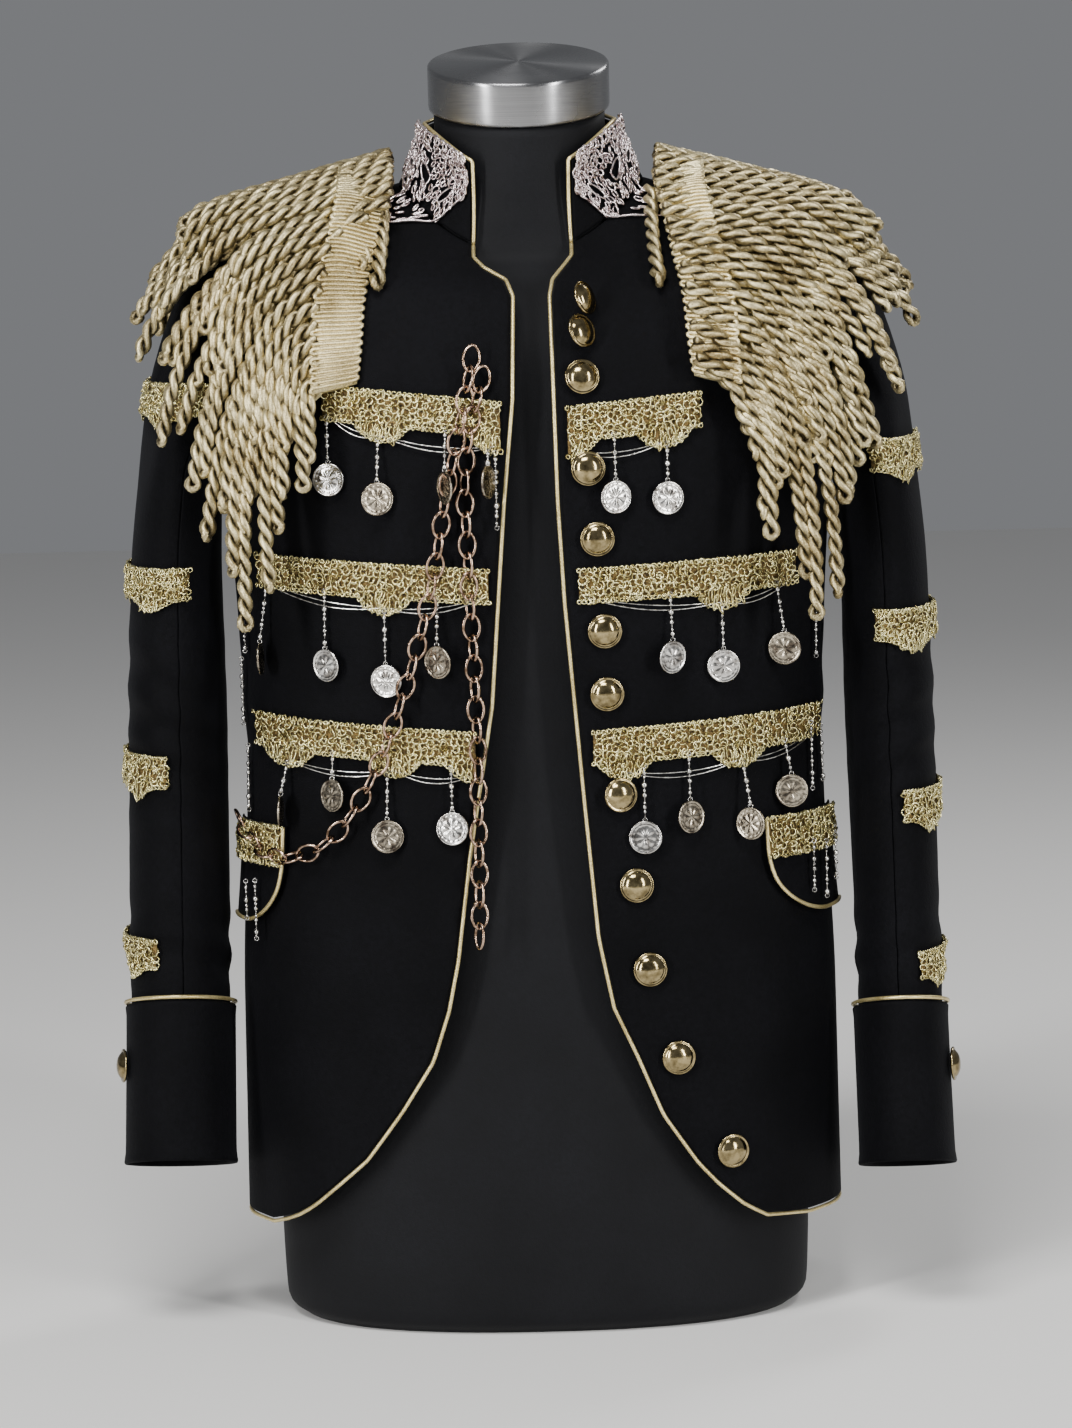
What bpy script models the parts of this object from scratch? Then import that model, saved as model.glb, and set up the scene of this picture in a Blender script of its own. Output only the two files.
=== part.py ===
"""Stage jacket in a military cut, worn open on a limbless dress form.

X runs to the wearer's left, the wearer faces -Y, and Z is up from the form's flat base. Metres.
Cloth and trims are thin walls: each lies between two offsets of one shared body or sleeve surface.
"""

import math

import bpy
import numpy as np
from mathutils import Vector
from mathutils.bvhtree import BVHTree

# Driving dimensions
WALL = 0.0022
SEAM_GAP = 0.0005
LIE_GAP = 0.0014
TRIM = 0.0014
PIPING_RADIUS = 0.0016
STRAND_WIDTH = 0.0066
STRAND_THICK = 0.0042
STRAND_CLEAR = 0.0046
STRAND_LAYER_STEP = 0.0079
STRANDS_PER_LAYER = 19
LAYER_SECTIONS = (5, 4, 3)
BUTTON_RADIUS = 0.0113
COIN_RADIUS = 0.0110
BEAD_STRAND_WIDTH = 0.0034
CHAIN_LINK = 0.0180
CHAIN_HALF_WIDTH = 0.0048
CHAIN_OUT = {"chain_loop": 0.0078, "chain_tail": 0.0048}
NECK_TILT = math.radians(14)

# Jacket body: one row a level, from the hem to the neckline. Columns: heights at side, front and back,
# half width, depth in front and behind, and how square the section is
BODY_LEVELS = (
    (0.072, 0.072, 0.068, 0.1990, 0.128, 0.124, 2.35),
    (0.220, 0.220, 0.220, 0.1985, 0.126, 0.119, 2.35),
    (0.370, 0.370, 0.370, 0.1930, 0.117, 0.106, 2.30),
    (0.470, 0.470, 0.470, 0.1960, 0.121, 0.112, 2.30),
    (0.560, 0.560, 0.560, 0.2010, 0.125, 0.118, 2.30),
    (0.630, 0.622, 0.632, 0.2030, 0.121, 0.120, 2.40),
    (0.685, 0.662, 0.692, 0.2055, 0.108, 0.112, 2.40),
    (0.718, 0.686, 0.728, 0.2060, 0.094, 0.100, 2.30),
    (0.733, 0.697, 0.745, 0.1650, 0.082, 0.086, 2.20),
    (0.745, 0.704, 0.760, 0.1200, 0.072, 0.074, 2.10),
    (0.755, 0.708, 0.772, 0.0810, 0.064, 0.064, 2.00),
)
HEM_WAVE = 0.005
ARMPIT_LEVEL, TIP_LEVEL, NECK_LEVEL = 4, 7, 10
ARMHOLE_BITE = math.radians(25)
FRONT_LEVELS = (0.0, 0.04, 0.10, 0.18, 0.28, 0.42, 0.60, 0.80, 1.05, 1.35, 1.7, 2.0, 2.35, 2.75, 3.3)
BACK_LEVELS = (0.0, 0.6, 1.2, 1.7, 2.0, 2.3, 2.7, 3.3)
ARMHOLE_STEPS = range(180, -1, -20)
SHOULDER_LEVELS = (7.5, 8.0, 9.0, 9.5, 10.0)

# Front edge: height and distance from the middle
EDGE_RIGHT = (
    (0.072, 0.184), (0.080, 0.166), (0.089, 0.153), (0.122, 0.118), (0.155, 0.094), (0.188, 0.073),
    (0.221, 0.062), (0.254, 0.055), (0.320, 0.046), (0.419, 0.029), (0.551, 0.018), (0.617, 0.011),
    (0.683, 0.009), (0.693, 0.013), (0.701, 0.027), (0.708, 0.034),
)
EDGE_LEFT = (
    (0.072, 0.178), (0.076, 0.148), (0.086, 0.132), (0.101, 0.116), (0.116, 0.103), (0.149, 0.081),
    (0.188, 0.065), (0.221, 0.050), (0.267, 0.041), (0.353, 0.034), (0.485, 0.024), (0.551, 0.021),
    (0.683, 0.019), (0.693, 0.021), (0.701, 0.028), (0.708, 0.034),
)

# Collar top edge: an oval over the neckline, lower in front, and wider there so that its ends stand upright
COLLAR_WIDTH, COLLAR_DEPTH = 0.0640, 0.0640
COLLAR_SIDE_Z, COLLAR_FRONT_Z, COLLAR_BACK_Z = 0.792, 0.762, 0.806
COLLAR_FLARE = 0.012

# Sleeve: one row a ring from the upper arm down. Columns: height, x and y of its middle, half width,
# half depth, and how far the ring rises outwards and forwards
SLEEVE_RINGS = (
    (0.572, 0.2290, 0.000, 0.0235, 0.071, 0.035, 0.000),
    (0.500, 0.2360, -0.001, 0.0290, 0.067, 0.012, 0.002),
    (0.390, 0.2385, -0.006, 0.0315, 0.061, 0.004, 0.006),
    (0.290, 0.2400, -0.018, 0.0315, 0.055, 0.002, 0.010),
    (0.206, 0.2410, -0.030, 0.0310, 0.051, 0.000, 0.013),
    (0.102, 0.2430, -0.048, 0.0315, 0.050, 0.000, 0.013),
)
SLEEVE_DROP = {"right": 0.006, "left": -0.006}
CUFF_SQUEEZE = {"right": 1.06, "left": 0.90}
TOP_SLEEVE_HALF = 100
CUFF_TOP_RING, CUFF_END_RING = 5.0, 6.0

# Dress form: height, half width, half depth and how far forward
FORM_SECTIONS = (
    (0.000, 0.166, 0.100, 0.000), (0.010, 0.176, 0.109, 0.000), (0.110, 0.179, 0.112, 0.000),
    (0.240, 0.170, 0.108, 0.002), (0.360, 0.146, 0.098, 0.003), (0.460, 0.152, 0.102, 0.002),
    (0.560, 0.168, 0.106, 0.000), (0.640, 0.168, 0.098, 0.000), (0.675, 0.160, 0.082, 0.000),
    (0.695, 0.145, 0.066, 0.000), (0.709, 0.120, 0.0560, 0.000), (0.724, 0.090, 0.0540, 0.000),
    (0.738, 0.067, 0.0540, 0.000), (0.754, 0.0570, 0.0550, 0.000), (0.8035, 0.0565, 0.0565, 0.000),
)
FORM_SIDES = 18
CAP_RADIUS, CAP_HEIGHT, CAP_BEVEL, CAP_Z = 0.060, 0.030, 0.004, 0.8040

# Chest bands: side, top heights at the outer and inner end, outer and inner distance from the middle,
# the distances of its tongues, then each pendant's distance from the middle and the height of its coin
BANDS = (
    (
        "band_right_1", "right", 0.628, 0.615, 0.131, 0.017, (0.093, 0.024),
        ((0.1275, 0.568), (0.095, 0.556), (0.052, 0.563)),
    ),
    (
        "band_right_2", "right", 0.518, 0.508, 0.177, 0.027, (0.094,),
        ((0.170, 0.450), (0.132, 0.447), (0.094, 0.437), (0.060, 0.450)),
    ),
    (
        "band_right_3", "right", 0.412, 0.402, 0.182, 0.038, (0.161, 0.087),
        ((0.160, 0.349), (0.130, 0.361), (0.095, 0.335), (0.054, 0.340)),
    ),
    (
        "band_left_1", "left", 0.618, 0.611, 0.111, 0.026, (0.090, 0.026),
        ((0.0555, 0.554), (0.089, 0.552)),
    ),
    (
        "band_left_2", "left", 0.512, 0.507, 0.172, 0.031, (0.123,),
        ((0.089, 0.449), (0.122, 0.441), (0.158, 0.450)),
    ),
    (
        "band_left_3", "left", 0.408, 0.401, 0.188, 0.038, (0.133, 0.060),
        ((0.070, 0.331), (0.099, 0.343), (0.134, 0.336), (0.162, 0.354)),
    ),
)
BAND_HEIGHT, TONGUE_DROP, TONGUE_HALF = 0.019, 0.0115, 0.016

# Sleeve bands: top height, depth, and the angles where they start behind and end in front
SLEEVE_BANDS = {
    "right": (
        (0.628, 0.026, -62, 98), (0.508, 0.026, -64, 112), (0.384, 0.026, -56, 84), (0.263, 0.024, -48, 70),
    ),
    "left": (
        (0.582, 0.026, -62, 100), (0.470, 0.026, -64, 110), (0.350, 0.026, -56, 84), (0.243, 0.022, -48, 70),
    ),
}

# Fringe: the header line over the shoulder and down the chest, and the line that the longest strands reach
HEADER_LINE = (
    (0.118, 0.070, 0.740), (0.114, 0.034, 0.752), (0.112, -0.006, 0.753), (0.114, -0.044, 0.742),
    (0.122, -0.076, 0.708), (0.128, -0.098, 0.668), (0.129, -0.112, 0.624),
)
SHOULDER_LINE = (
    (0.170, 0.092, 0.722), (0.206, 0.056, 0.738), (0.222, 0.002, 0.738), (0.222, -0.056, 0.728),
    (0.210, -0.088, 0.702), (0.186, -0.110, 0.664), (0.150, -0.121, 0.620),
)
REACH_LINE = (
    (0.190, 0.104, 0.640), (0.238, 0.062, 0.662), (0.254, 0.006, 0.682), (0.249, -0.056, 0.650),
    (0.225, -0.100, 0.560), (0.190, -0.128, 0.487), (0.136, -0.134, 0.552),
)
HEADER_WIDTH = 0.025

# Collar lace: its lower and upper outline up the collar, at shares of the way from the front to the side
LACE_LOW = ((0.0, 0.60), (0.15, 0.33), (0.32, -0.10), (0.47, -0.54), (0.58, -0.30), (0.72, 0.02), (1.0, 0.36))
LACE_HIGH = ((0.0, 0.97), (0.30, 0.80), (0.60, 0.82), (1.0, 0.97))
LACE_START, LACE_END = math.radians(2), math.radians(86)

# Buttons down the wearer's left front: distance from the middle and height
BUTTONS = (
    (0.038, 0.676), (0.0355, 0.657), (0.036, 0.6305), (0.0385, 0.5725), (0.0435, 0.527), (0.047, 0.467),
    (0.0475, 0.426), (0.0545, 0.3595), (0.064, 0.300), (0.0715, 0.245), (0.089, 0.186), (0.1225, 0.1215),
)
CUFF_BUTTON_ANGLE, CUFF_BUTTON_RING = 22, 5.40

# Chain paths on the wearer's right front: distance from the middle and height
CHAIN_LOOP = (
    (0.034, 0.642), (0.040, 0.611), (0.048, 0.577), (0.053, 0.553), (0.059, 0.5165), (0.066, 0.483),
    (0.075, 0.451), (0.086, 0.418), (0.097, 0.387), (0.111, 0.3585), (0.125, 0.338), (0.139, 0.325),
    (0.155, 0.318), (0.169, 0.318), (0.180, 0.325), (0.189, 0.338),
)
CHAIN_TAIL = (
    (0.028, 0.630), (0.037, 0.598), (0.0405, 0.563), (0.0395, 0.524), (0.039, 0.4905), (0.0375, 0.457),
    (0.037, 0.423), (0.036, 0.385), (0.037, 0.346), (0.037, 0.306), (0.038, 0.2705),
)

# Pocket flaps: the angle of the front end, and the heights of the top and bottom
FLAP_START = {"right": 55, "left": 47}
FLAP_TOP, FLAP_BOTTOM, FLAP_ROUND = 0.334, 0.270, 0.038

SIDE_SIGN = {"right": -1, "left": 1}


def slopes(values):
    """Slopes at evenly spaced stations that never overshoot."""
    steps = np.diff(values)
    product = steps[:-1] * steps[1:]
    inner = np.where(product > 0, 2 * product / (steps[:-1] + steps[1:] + 1e-12), 0.0)
    return np.concatenate([[steps[0]], inner, [steps[-1]]])


def at_station(columns, slope_table, station):
    """Each column of a table at a station between its rows."""
    last = len(columns) - 2
    i = min(max(int(station), 0), last)
    t = station - i
    h = (2 * t**3 - 3 * t**2 + 1, t**3 - 2 * t**2 + t, -2 * t**3 + 3 * t**2, t**3 - t**2)
    return h[0] * columns[i] + h[1] * slope_table[i] + h[2] * columns[i + 1] + h[3] * slope_table[i + 1]


BODY = np.array(BODY_LEVELS)
BODY_SLOPES = np.stack([slopes(BODY[:, k]) for k in range(BODY.shape[1])], axis=1)
SLEEVE = np.array(SLEEVE_RINGS)
SLEEVE_SLOPES = np.stack([slopes(SLEEVE[:, k]) for k in range(SLEEVE.shape[1])], axis=1)


def body_point(angle, level):
    """Outside of the jacket body: angle 0 is the front middle, positive to +X, 180 degrees the back."""
    side_z, front_z, back_z, width, front, back, square = at_station(BODY, BODY_SLOPES, level)
    c, s = math.cos(angle), math.sin(angle)
    depth, end_z = (front, front_z) if c >= 0 else (back, back_z)
    power = 2 / square
    wave = HEM_WAVE * max(-c, 0.0) * max(1 - level / 2, 0.0) ** 2 * math.cos(6 * angle)
    x = (width + wave) * math.copysign(abs(s) ** power, s)
    y = -(depth + wave) * math.copysign(abs(c) ** power, c)
    return np.array([x, y, side_z + (end_z - side_z) * c * c])


def normal_of(surface, a, b, step_a=1e-3, step_b=1e-3):
    """Outward unit normal of a surface whose first direction runs to +X over the front."""
    across = surface(a + step_a, b) - surface(a - step_a, b)
    along = surface(a, b + step_b) - surface(a, b - step_b)
    n = np.cross(across, along)
    return n / np.linalg.norm(n)


def body_normal(angle, level):
    level = min(max(level, 0.001), NECK_LEVEL - 0.001)
    return normal_of(body_point, angle, level)


def level_at(z, x):
    """The level and the angle where the front has this height and this distance from the middle."""
    low, high = 0.0, float(NECK_LEVEL)
    for _ in range(40):
        level = (low + high) / 2
        angle = front_angle(x, level)
        if body_point(angle, level)[2] < z:
            low = level
        else:
            high = level
    return angle, level


def front_angle(x, level):
    width, square = at_station(BODY, BODY_SLOPES, level)[[3, 6]]
    share = min(abs(x) / width, 1.0)
    return math.copysign(math.asin(share ** (square / 2)), x)


def on_front(x, z, out=0.0):
    """A point over the front at this place, moved out along the normal."""
    angle, level = level_at(z, x)
    return body_point(angle, level) + out * body_normal(angle, level)


def edge_x(side, z):
    table = np.array(EDGE_RIGHT if side == "right" else EDGE_LEFT)
    return SIDE_SIGN[side] * float(np.interp(z, table[:, 0], table[:, 1]))


def armhole_angle(level, sign):
    """Where a panel ends at the armhole: sign +1 in front of the side line and -1 behind it."""
    if not ARMPIT_LEVEL < level < TIP_LEVEL:
        return math.pi / 2
    t = 2 * (level - ARMPIT_LEVEL) / (TIP_LEVEL - ARMPIT_LEVEL) - 1
    return math.pi / 2 - sign * ARMHOLE_BITE * max(1 - t * t, 0.0) ** 0.375


def armhole_level(turn):
    return ARMPIT_LEVEL + (TIP_LEVEL - ARMPIT_LEVEL) * (1 + math.cos(turn)) / 2


def collar_point(angle, share):
    """Outside of the stand collar, from the neckline up."""
    base = body_point(angle, NECK_LEVEL)
    c, s = math.cos(angle), math.sin(angle)
    end_z = COLLAR_FRONT_Z if c >= 0 else COLLAR_BACK_Z
    wide = COLLAR_WIDTH * s + COLLAR_FLARE * max(c, 0.0) ** 6 * math.copysign(min(abs(s) * 3, 1.0), s)
    top = np.array([wide, -COLLAR_DEPTH * c, COLLAR_SIDE_Z + (end_z - COLLAR_SIDE_Z) * c * c])
    return base + (top - base) * share


def sleeve_point(side, turn, ring):
    """Outside of a sleeve: turn 0 is the outer side, 90 degrees the front; ring 0 is the armhole."""
    sign = SIDE_SIGN[side]
    c, s = math.cos(turn), math.sin(turn)
    station = max(ring - 1, 0.0)
    z, x, y, a, b, rise_out, rise_front = at_station(SLEEVE, SLEEVE_SLOPES, station)
    lower = min(station / 3, 1.0)
    a *= 1 + (CUFF_SQUEEZE[side] - 1) * lower
    point = np.array([x + a * c, y - b * s, z + SLEEVE_DROP[side] * lower + rise_out * c + rise_front * s])
    if ring < 1:
        level = armhole_level(turn)
        front = 1 if s >= 0 else -1
        angle = armhole_angle(level, front)
        start = body_point(angle, level) + 0.0009 * body_normal(angle, level)
        middle = np.array([start[0], 0.0, 0.64])
        start += 0.0006 * (middle - start) / max(np.linalg.norm(middle - start), 1e-6)
        outer = (1 + c) / 2
        leave = outer * np.array([0.052, 0.0, -0.012]) + (1 - outer) * np.array([0.004, 0.0, -0.030])
        arrive = np.array([0.012 * outer, 0.0, -0.105 * outer - 0.040 * (1 - outer)])
        t = ring
        point = (
            (2 * t**3 - 3 * t**2 + 1) * start
            + (t**3 - 2 * t**2 + t) * leave
            + (3 * t**2 - 2 * t**3) * point
            + (t**3 - t**2) * arrive
        )
    return point * np.array([sign, 1, 1])


def sleeve_normal(side, turn, ring):
    """Outward unit normal of a sleeve."""
    ring = min(max(ring, 0.02), 5.99)
    n = normal_of(lambda t, r: sleeve_point(side, t, r), turn, ring, 1e-3, 2e-3)
    return n if side == "left" else -n


def ring_at(side, turn, z):
    """The ring of a sleeve that has this height at this turn."""
    low, high = 0.0, 6.0
    for _ in range(40):
        middle = (low + high) / 2
        if sleeve_point(side, turn, middle)[2] > z:
            low = middle
        else:
            high = middle
    return low


def unit(v):
    return v / max(np.linalg.norm(v), 1e-9)


def material(name, colour, metallic, roughness):
    mat = bpy.data.materials.new(name)
    mat.use_nodes = True
    bsdf = mat.node_tree.nodes["Principled BSDF"]
    bsdf.inputs["Base Color"].default_value = (*colour, 1)
    bsdf.inputs["Metallic"].default_value = metallic
    bsdf.inputs["Roughness"].default_value = roughness
    return mat


LOOKS = {
    "black_wool": ((0.012, 0.012, 0.014), 0.0, 0.9),
    "black_jersey": ((0.020, 0.020, 0.022), 0.0, 0.8),
    "brushed_steel": ((0.55, 0.55, 0.56), 1.0, 0.35),
    "gold_trim": ((0.75, 0.50, 0.16), 0.6, 0.45),
    "gold_metal": ((0.90, 0.65, 0.25), 1.0, 0.25),
    "silver_lace": ((0.75, 0.68, 0.70), 0.5, 0.4),
}


def solid(name, points, faces, look):
    """A closed object. Faces that point inwards as a whole are turned round."""
    mesh = bpy.data.meshes.new(name)
    points = np.array(points)
    volume = 0.0
    for face in faces:
        for i in range(1, len(face) - 1):
            volume += np.dot(points[face[0]], np.cross(points[face[i]], points[face[i + 1]]))
    if volume < 0:
        faces = [face[::-1] for face in faces]
    mesh.from_pydata([tuple(p) for p in points], [], faces)
    obj = bpy.data.objects.new(name, mesh)
    bpy.context.scene.collection.objects.link(obj)
    mesh.materials.append(material(name, *LOOKS[look]))
    return obj


def shell(name, outer, inner, faces, look):
    """A wall between matching outer and inner points, closed along every free edge."""
    count = len(outer)
    used = {}
    for face in faces:
        for a, b in zip(face, face[1:] + face[:1]):
            used[(a, b)] = True
    walls = [list(face) for face in faces]
    walls += [[i + count for i in reversed(face)] for face in faces]
    for a, b in used:
        if (b, a) not in used:
            walls.append([b, a, a + count, b + count])
    return solid(name, list(outer) + list(inner), walls, look)


def grid_faces(rows, columns, skip=(), wrap=False):
    """Quads of a grid of points stored row by row, without the cells named in skip."""
    faces = []
    for r in range(rows - 1):
        for c in range(columns if wrap else columns - 1):
            if (r, c) not in skip:
                n = (c + 1) % columns
                a = r * columns
                faces.append([a + c, a + n, a + columns + n, a + columns + c])
    return faces


def drawn_in(grid, gap):
    """The end points of each row and column moved in, so that two pieces leave a seam gap."""
    grid = grid.copy()
    for line in (grid, grid.transpose(1, 0, 2)):
        first, last = line[:, 0].copy(), line[:, -1].copy()
        second, before = line[:, 1].copy(), line[:, -2].copy()
        for i in range(len(line)):
            line[i, 0] = first[i] + gap * unit(second[i] - first[i])
            line[i, -1] = last[i] + gap * unit(before[i] - last[i])
    return grid


def wall_grid(name, points, normals, look, thickness=WALL, gap=SEAM_GAP / 2, skip=()):
    """A cloth panel from a grid of outside points and their normals."""
    outer = drawn_in(np.array(points), gap)
    inner = outer - thickness * np.array(normals)
    rows, columns = outer.shape[:2]
    return shell(name, outer.reshape(-1, 3), inner.reshape(-1, 3), grid_faces(rows, columns, skip), look)


def shares(count):
    return [i / (count - 1) for i in range(count)]


def body_panel(name, levels, start, end, columns, look="black_wool"):
    """A panel of the body between two angles, each a function of the level."""
    points = [[body_point(start(v) + (end(v) - start(v)) * t, v) for t in shares(columns)] for v in levels]
    normals = [[body_normal(start(v) + (end(v) - start(v)) * t, v) for t in shares(columns)] for v in levels]
    return wall_grid(name, points, normals, look)


def edge_angle(side, level):
    """The angle of the front edge at a level."""
    angle = 0.0
    for _ in range(4):
        angle = front_angle(edge_x(side, body_point(angle, level)[2]), level)
    return angle


def build_body():
    arm_levels = [armhole_level(math.radians(turn)) for turn in ARMHOLE_STEPS]
    for side, sign in SIDE_SIGN.items():
        body_panel(
            f"front_{side}",
            [*FRONT_LEVELS, *arm_levels, *SHOULDER_LEVELS],
            lambda v: edge_angle(side, v),
            lambda v: sign * armhole_angle(v, 1),
            10,
        )
        body_panel(
            f"back_{side}",
            [*BACK_LEVELS, *arm_levels, *SHOULDER_LEVELS],
            lambda v: sign * armhole_angle(v, -1),
            lambda v: sign * math.pi,
            7,
        )


def collar_wall(angle, share):
    """Outside point and inward direction of the collar."""
    across = collar_point(angle + 1e-3, share) - collar_point(angle - 1e-3, share)
    up = collar_point(angle, 1) - collar_point(angle, 0)
    return collar_point(angle, share), unit(np.cross(across, up))


def collar_front_angle():
    return front_angle(0.034, NECK_LEVEL)


def build_collar():
    start = collar_front_angle()
    turns = [start + (2 * math.pi - 2 * start) * t for t in shares(23)]
    rows = [[collar_wall(a, s) for a in turns] for s in (0.0, 0.5, 1.0)]
    points = np.array([[p for p, _ in row] for row in rows])
    normals = np.array([[n for _, n in row] for row in rows])
    points += np.array([0, 0, 0.0009])
    wall_grid("collar", points, normals, "black_wool", thickness=0.0024)


def sleeve_panel(name, side, rings, turns, look="black_wool", out=0.0, thickness=WALL, gap=SEAM_GAP / 2):
    turns = [math.radians(t) for t in turns]
    normals = np.array([[sleeve_normal(side, t, r) for t in turns] for r in rings])
    points = np.array([[sleeve_point(side, t, r) for t in turns] for r in rings]) + out * normals
    return wall_grid(name, points, normals, look, thickness, gap)


def build_sleeves():
    rings = (0.0, 0.22, 0.5, 1.0, 1.5, 2.0, 2.7, 3.5, 4.4, 5.12)
    for side in SIDE_SIGN:
        sleeve_panel(f"sleeve_top_{side}", side, rings, range(-TOP_SLEEVE_HALF, TOP_SLEEVE_HALF + 1, 20))
        sleeve_panel(f"sleeve_under_{side}", side, rings, range(TOP_SLEEVE_HALF, 361 - TOP_SLEEVE_HALF, 20))
        turns = [math.radians(t) for t in range(0, 360, 18)]
        outer, inner = [], []
        for ring in (CUFF_TOP_RING, 5.5, CUFF_END_RING):
            for t in turns:
                n = sleeve_normal(side, t, ring)
                p = sleeve_point(side, t, ring)
                outer.append(p + (LIE_GAP + WALL) * n)
                inner.append(p + LIE_GAP * n)
        shell(f"cuff_{side}", outer, inner, grid_faces(3, len(turns), wrap=True), "black_wool")


def tube(name, path, ups, radius, look):
    """A four-sided tube along a path; ups are directions across it."""
    path = np.array(path)
    points = []
    for i, p in enumerate(path):
        along = unit(path[min(i + 1, len(path) - 1)] - path[max(i - 1, 0)])
        up = unit(ups[i] - along * np.dot(ups[i], along))
        across = np.cross(along, up)
        points += [p + radius * across, p + radius * up, p - radius * across, p - radius * up]
    faces = grid_faces(len(path), 4, wrap=True)
    end = len(points) - 4
    faces += [[3, 2, 1, 0], [end, end + 1, end + 2, end + 3]]
    return solid(name, points, faces, look)


def beside_edge(points, normals, side_sign):
    """Points moved off an edge, within the cloth, by a piping's radius and a gap."""
    points = np.array(points)
    moved = []
    for i, p in enumerate(points):
        along = unit(points[min(i + 1, len(points) - 1)] - points[max(i - 1, 0)])
        out = unit(np.cross(along, normals[i])) * -side_sign
        moved.append(p + out * (PIPING_RADIUS + 0.0006) - normals[i] * WALL / 2)
    return moved


def build_piping():
    for side, sign in SIDE_SIGN.items():
        arm = [armhole_level(math.radians(turn)) for turn in ARMHOLE_STEPS]
        levels = [*FRONT_LEVELS, *arm, *SHOULDER_LEVELS[:-1]]
        turns = [(edge_angle(side, v), v) for v in levels]
        hem = [(sign * math.pi / 2 + (turns[0][0] - sign * math.pi / 2) * t, 0.0) for t in (0.02, 0.4, 0.75)]
        places = hem + turns
        points = [body_point(a, v) for a, v in places]
        normals = [body_normal(a, v) for a, v in places]
        tube(f"piping_front_{side}", beside_edge(points, normals, sign), normals, PIPING_RADIUS, "gold_trim")
        turns = [math.radians(t) for t in range(0, 361, 24)]
        rings = [sleeve_point(side, t, CUFF_TOP_RING) for t in turns[:-1]]
        ups = [sleeve_normal(side, t, CUFF_TOP_RING) for t in turns[:-1]]
        off = LIE_GAP + PIPING_RADIUS + 0.0008
        path = [p + off * n + np.array([0, 0, 0.0024]) for p, n in zip(rings, ups)]
        ring_tube(f"piping_cuff_{side}", path, ups)
    start = collar_front_angle()
    bottom = [(start, s) for s in (0.14, 0.5, 0.86)]
    top = [(start + (2 * math.pi - 2 * start) * t, 1.0) for t in shares(23)]
    far = [(2 * math.pi - start, s) for s in (0.86, 0.5, 0.14)]
    points = [collar_wall(a, s) for a, s in bottom + top + far]
    path, ups = [], []
    for i, (p, n) in enumerate(points):
        off = PIPING_RADIUS + 0.0006
        side_way = unit(collar_point(start + 0.01, 0.5) - collar_point(start, 0.5))
        p = p + np.array([0, 0, 0.0009]) - n * 0.0012
        if i <= len(bottom):
            p = p - side_way * off
        if i >= len(bottom) + len(top) - 1:
            p = p + np.array([-side_way[0], side_way[1], side_way[2]]) * -off
        if len(bottom) <= i < len(bottom) + len(top):
            p = p + np.array([0, 0, off])
        path.append(p)
        ups.append(n)
    tube("piping_collar", path, ups, PIPING_RADIUS, "gold_trim")


def ring_tube(name, path, ups):
    path = np.array(path)
    count = len(path)
    points = []
    for i, p in enumerate(path):
        along = unit(path[(i + 1) % count] - path[i - 1])
        up = unit(ups[i] - along * np.dot(ups[i], along))
        across = np.cross(along, up)
        points += [p + PIPING_RADIUS * d for d in (across, up, -across, -up)]
    faces = []
    for i in range(count):
        a, b = 4 * i, 4 * ((i + 1) % count)
        faces += [[a + k, a + (k + 1) % 4, b + (k + 1) % 4, b + k] for k in range(4)]
    return solid(name, points, faces, "gold_trim")


def pendant(places, faces, first, second, x, top, drop):
    """A bead strand and its coin below a band, hung from the edge between two of the band's points."""
    rows = [(drop, BEAD_STRAND_WIDTH / 2)]
    for angle in (45, 90, 135):
        turn = math.radians(angle)
        rows.append((drop + COIN_RADIUS * (1 - math.cos(turn)), COIN_RADIUS * math.sin(turn)))
    rows.append((drop + 2 * COIN_RADIUS, BEAD_STRAND_WIDTH / 2))
    for down, half in rows:
        places += [level_at(top - down, x - half), level_at(top - down, x + half)]
        faces.append([second, first, len(places) - 2, len(places) - 1])
        first, second = len(places) - 2, len(places) - 1


def build_bands():
    for name, side, outer_z, inner_z, outer_x, inner_x, tongues, pendants in BANDS:
        sign = SIDE_SIGN[side]
        low_x, high_x = sorted((sign * outer_x, sign * inner_x))
        stops = {low_x, high_x}
        for x, _ in pendants:
            stops |= {sign * x - BEAD_STRAND_WIDTH / 2, sign * x + BEAD_STRAND_WIDTH / 2}
        for tongue in tongues:
            if all(abs(tongue - x) > 0.005 for x in (outer_x, inner_x, *[x for x, _ in pendants])):
                stops.add(sign * tongue)
        edges = sorted(stops)
        xs = []
        for a, b in zip(edges, edges[1:]):
            parts = max(1, math.ceil((b - a) / 0.017))
            xs += [a + (b - a) * i / parts for i in range(parts)]
        xs.append(edges[-1])

        places, faces = [], []
        bottoms = []
        for x in xs:
            top = np.interp(abs(x), (inner_x, outer_x), (inner_z, outer_z))
            hang = max(0.0, 1 - min(abs(abs(x) - tongue) for tongue in tongues) / TONGUE_HALF)
            bottoms.append(top - BAND_HEIGHT - TONGUE_DROP * hang)
            places += [level_at(top, x), level_at(bottoms[-1], x)]
        for i in range(len(xs) - 1):
            faces.append([2 * i, 2 * i + 1, 2 * i + 3, 2 * i + 2])
        for x, coin_z in pendants:
            i = min(range(len(xs)), key=lambda j: abs(xs[j] - (sign * x - BEAD_STRAND_WIDTH / 2)))
            drop = bottoms[i] - coin_z - COIN_RADIUS
            pendant(places, faces, 2 * i + 1, 2 * i + 3, sign * x, bottoms[i], drop)
        outer = [body_point(a, v) + (LIE_GAP + TRIM) * body_normal(a, v) for a, v in places]
        inner = [body_point(a, v) + LIE_GAP * body_normal(a, v) for a, v in places]
        shell(name, outer, inner, faces, "gold_trim")


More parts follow.
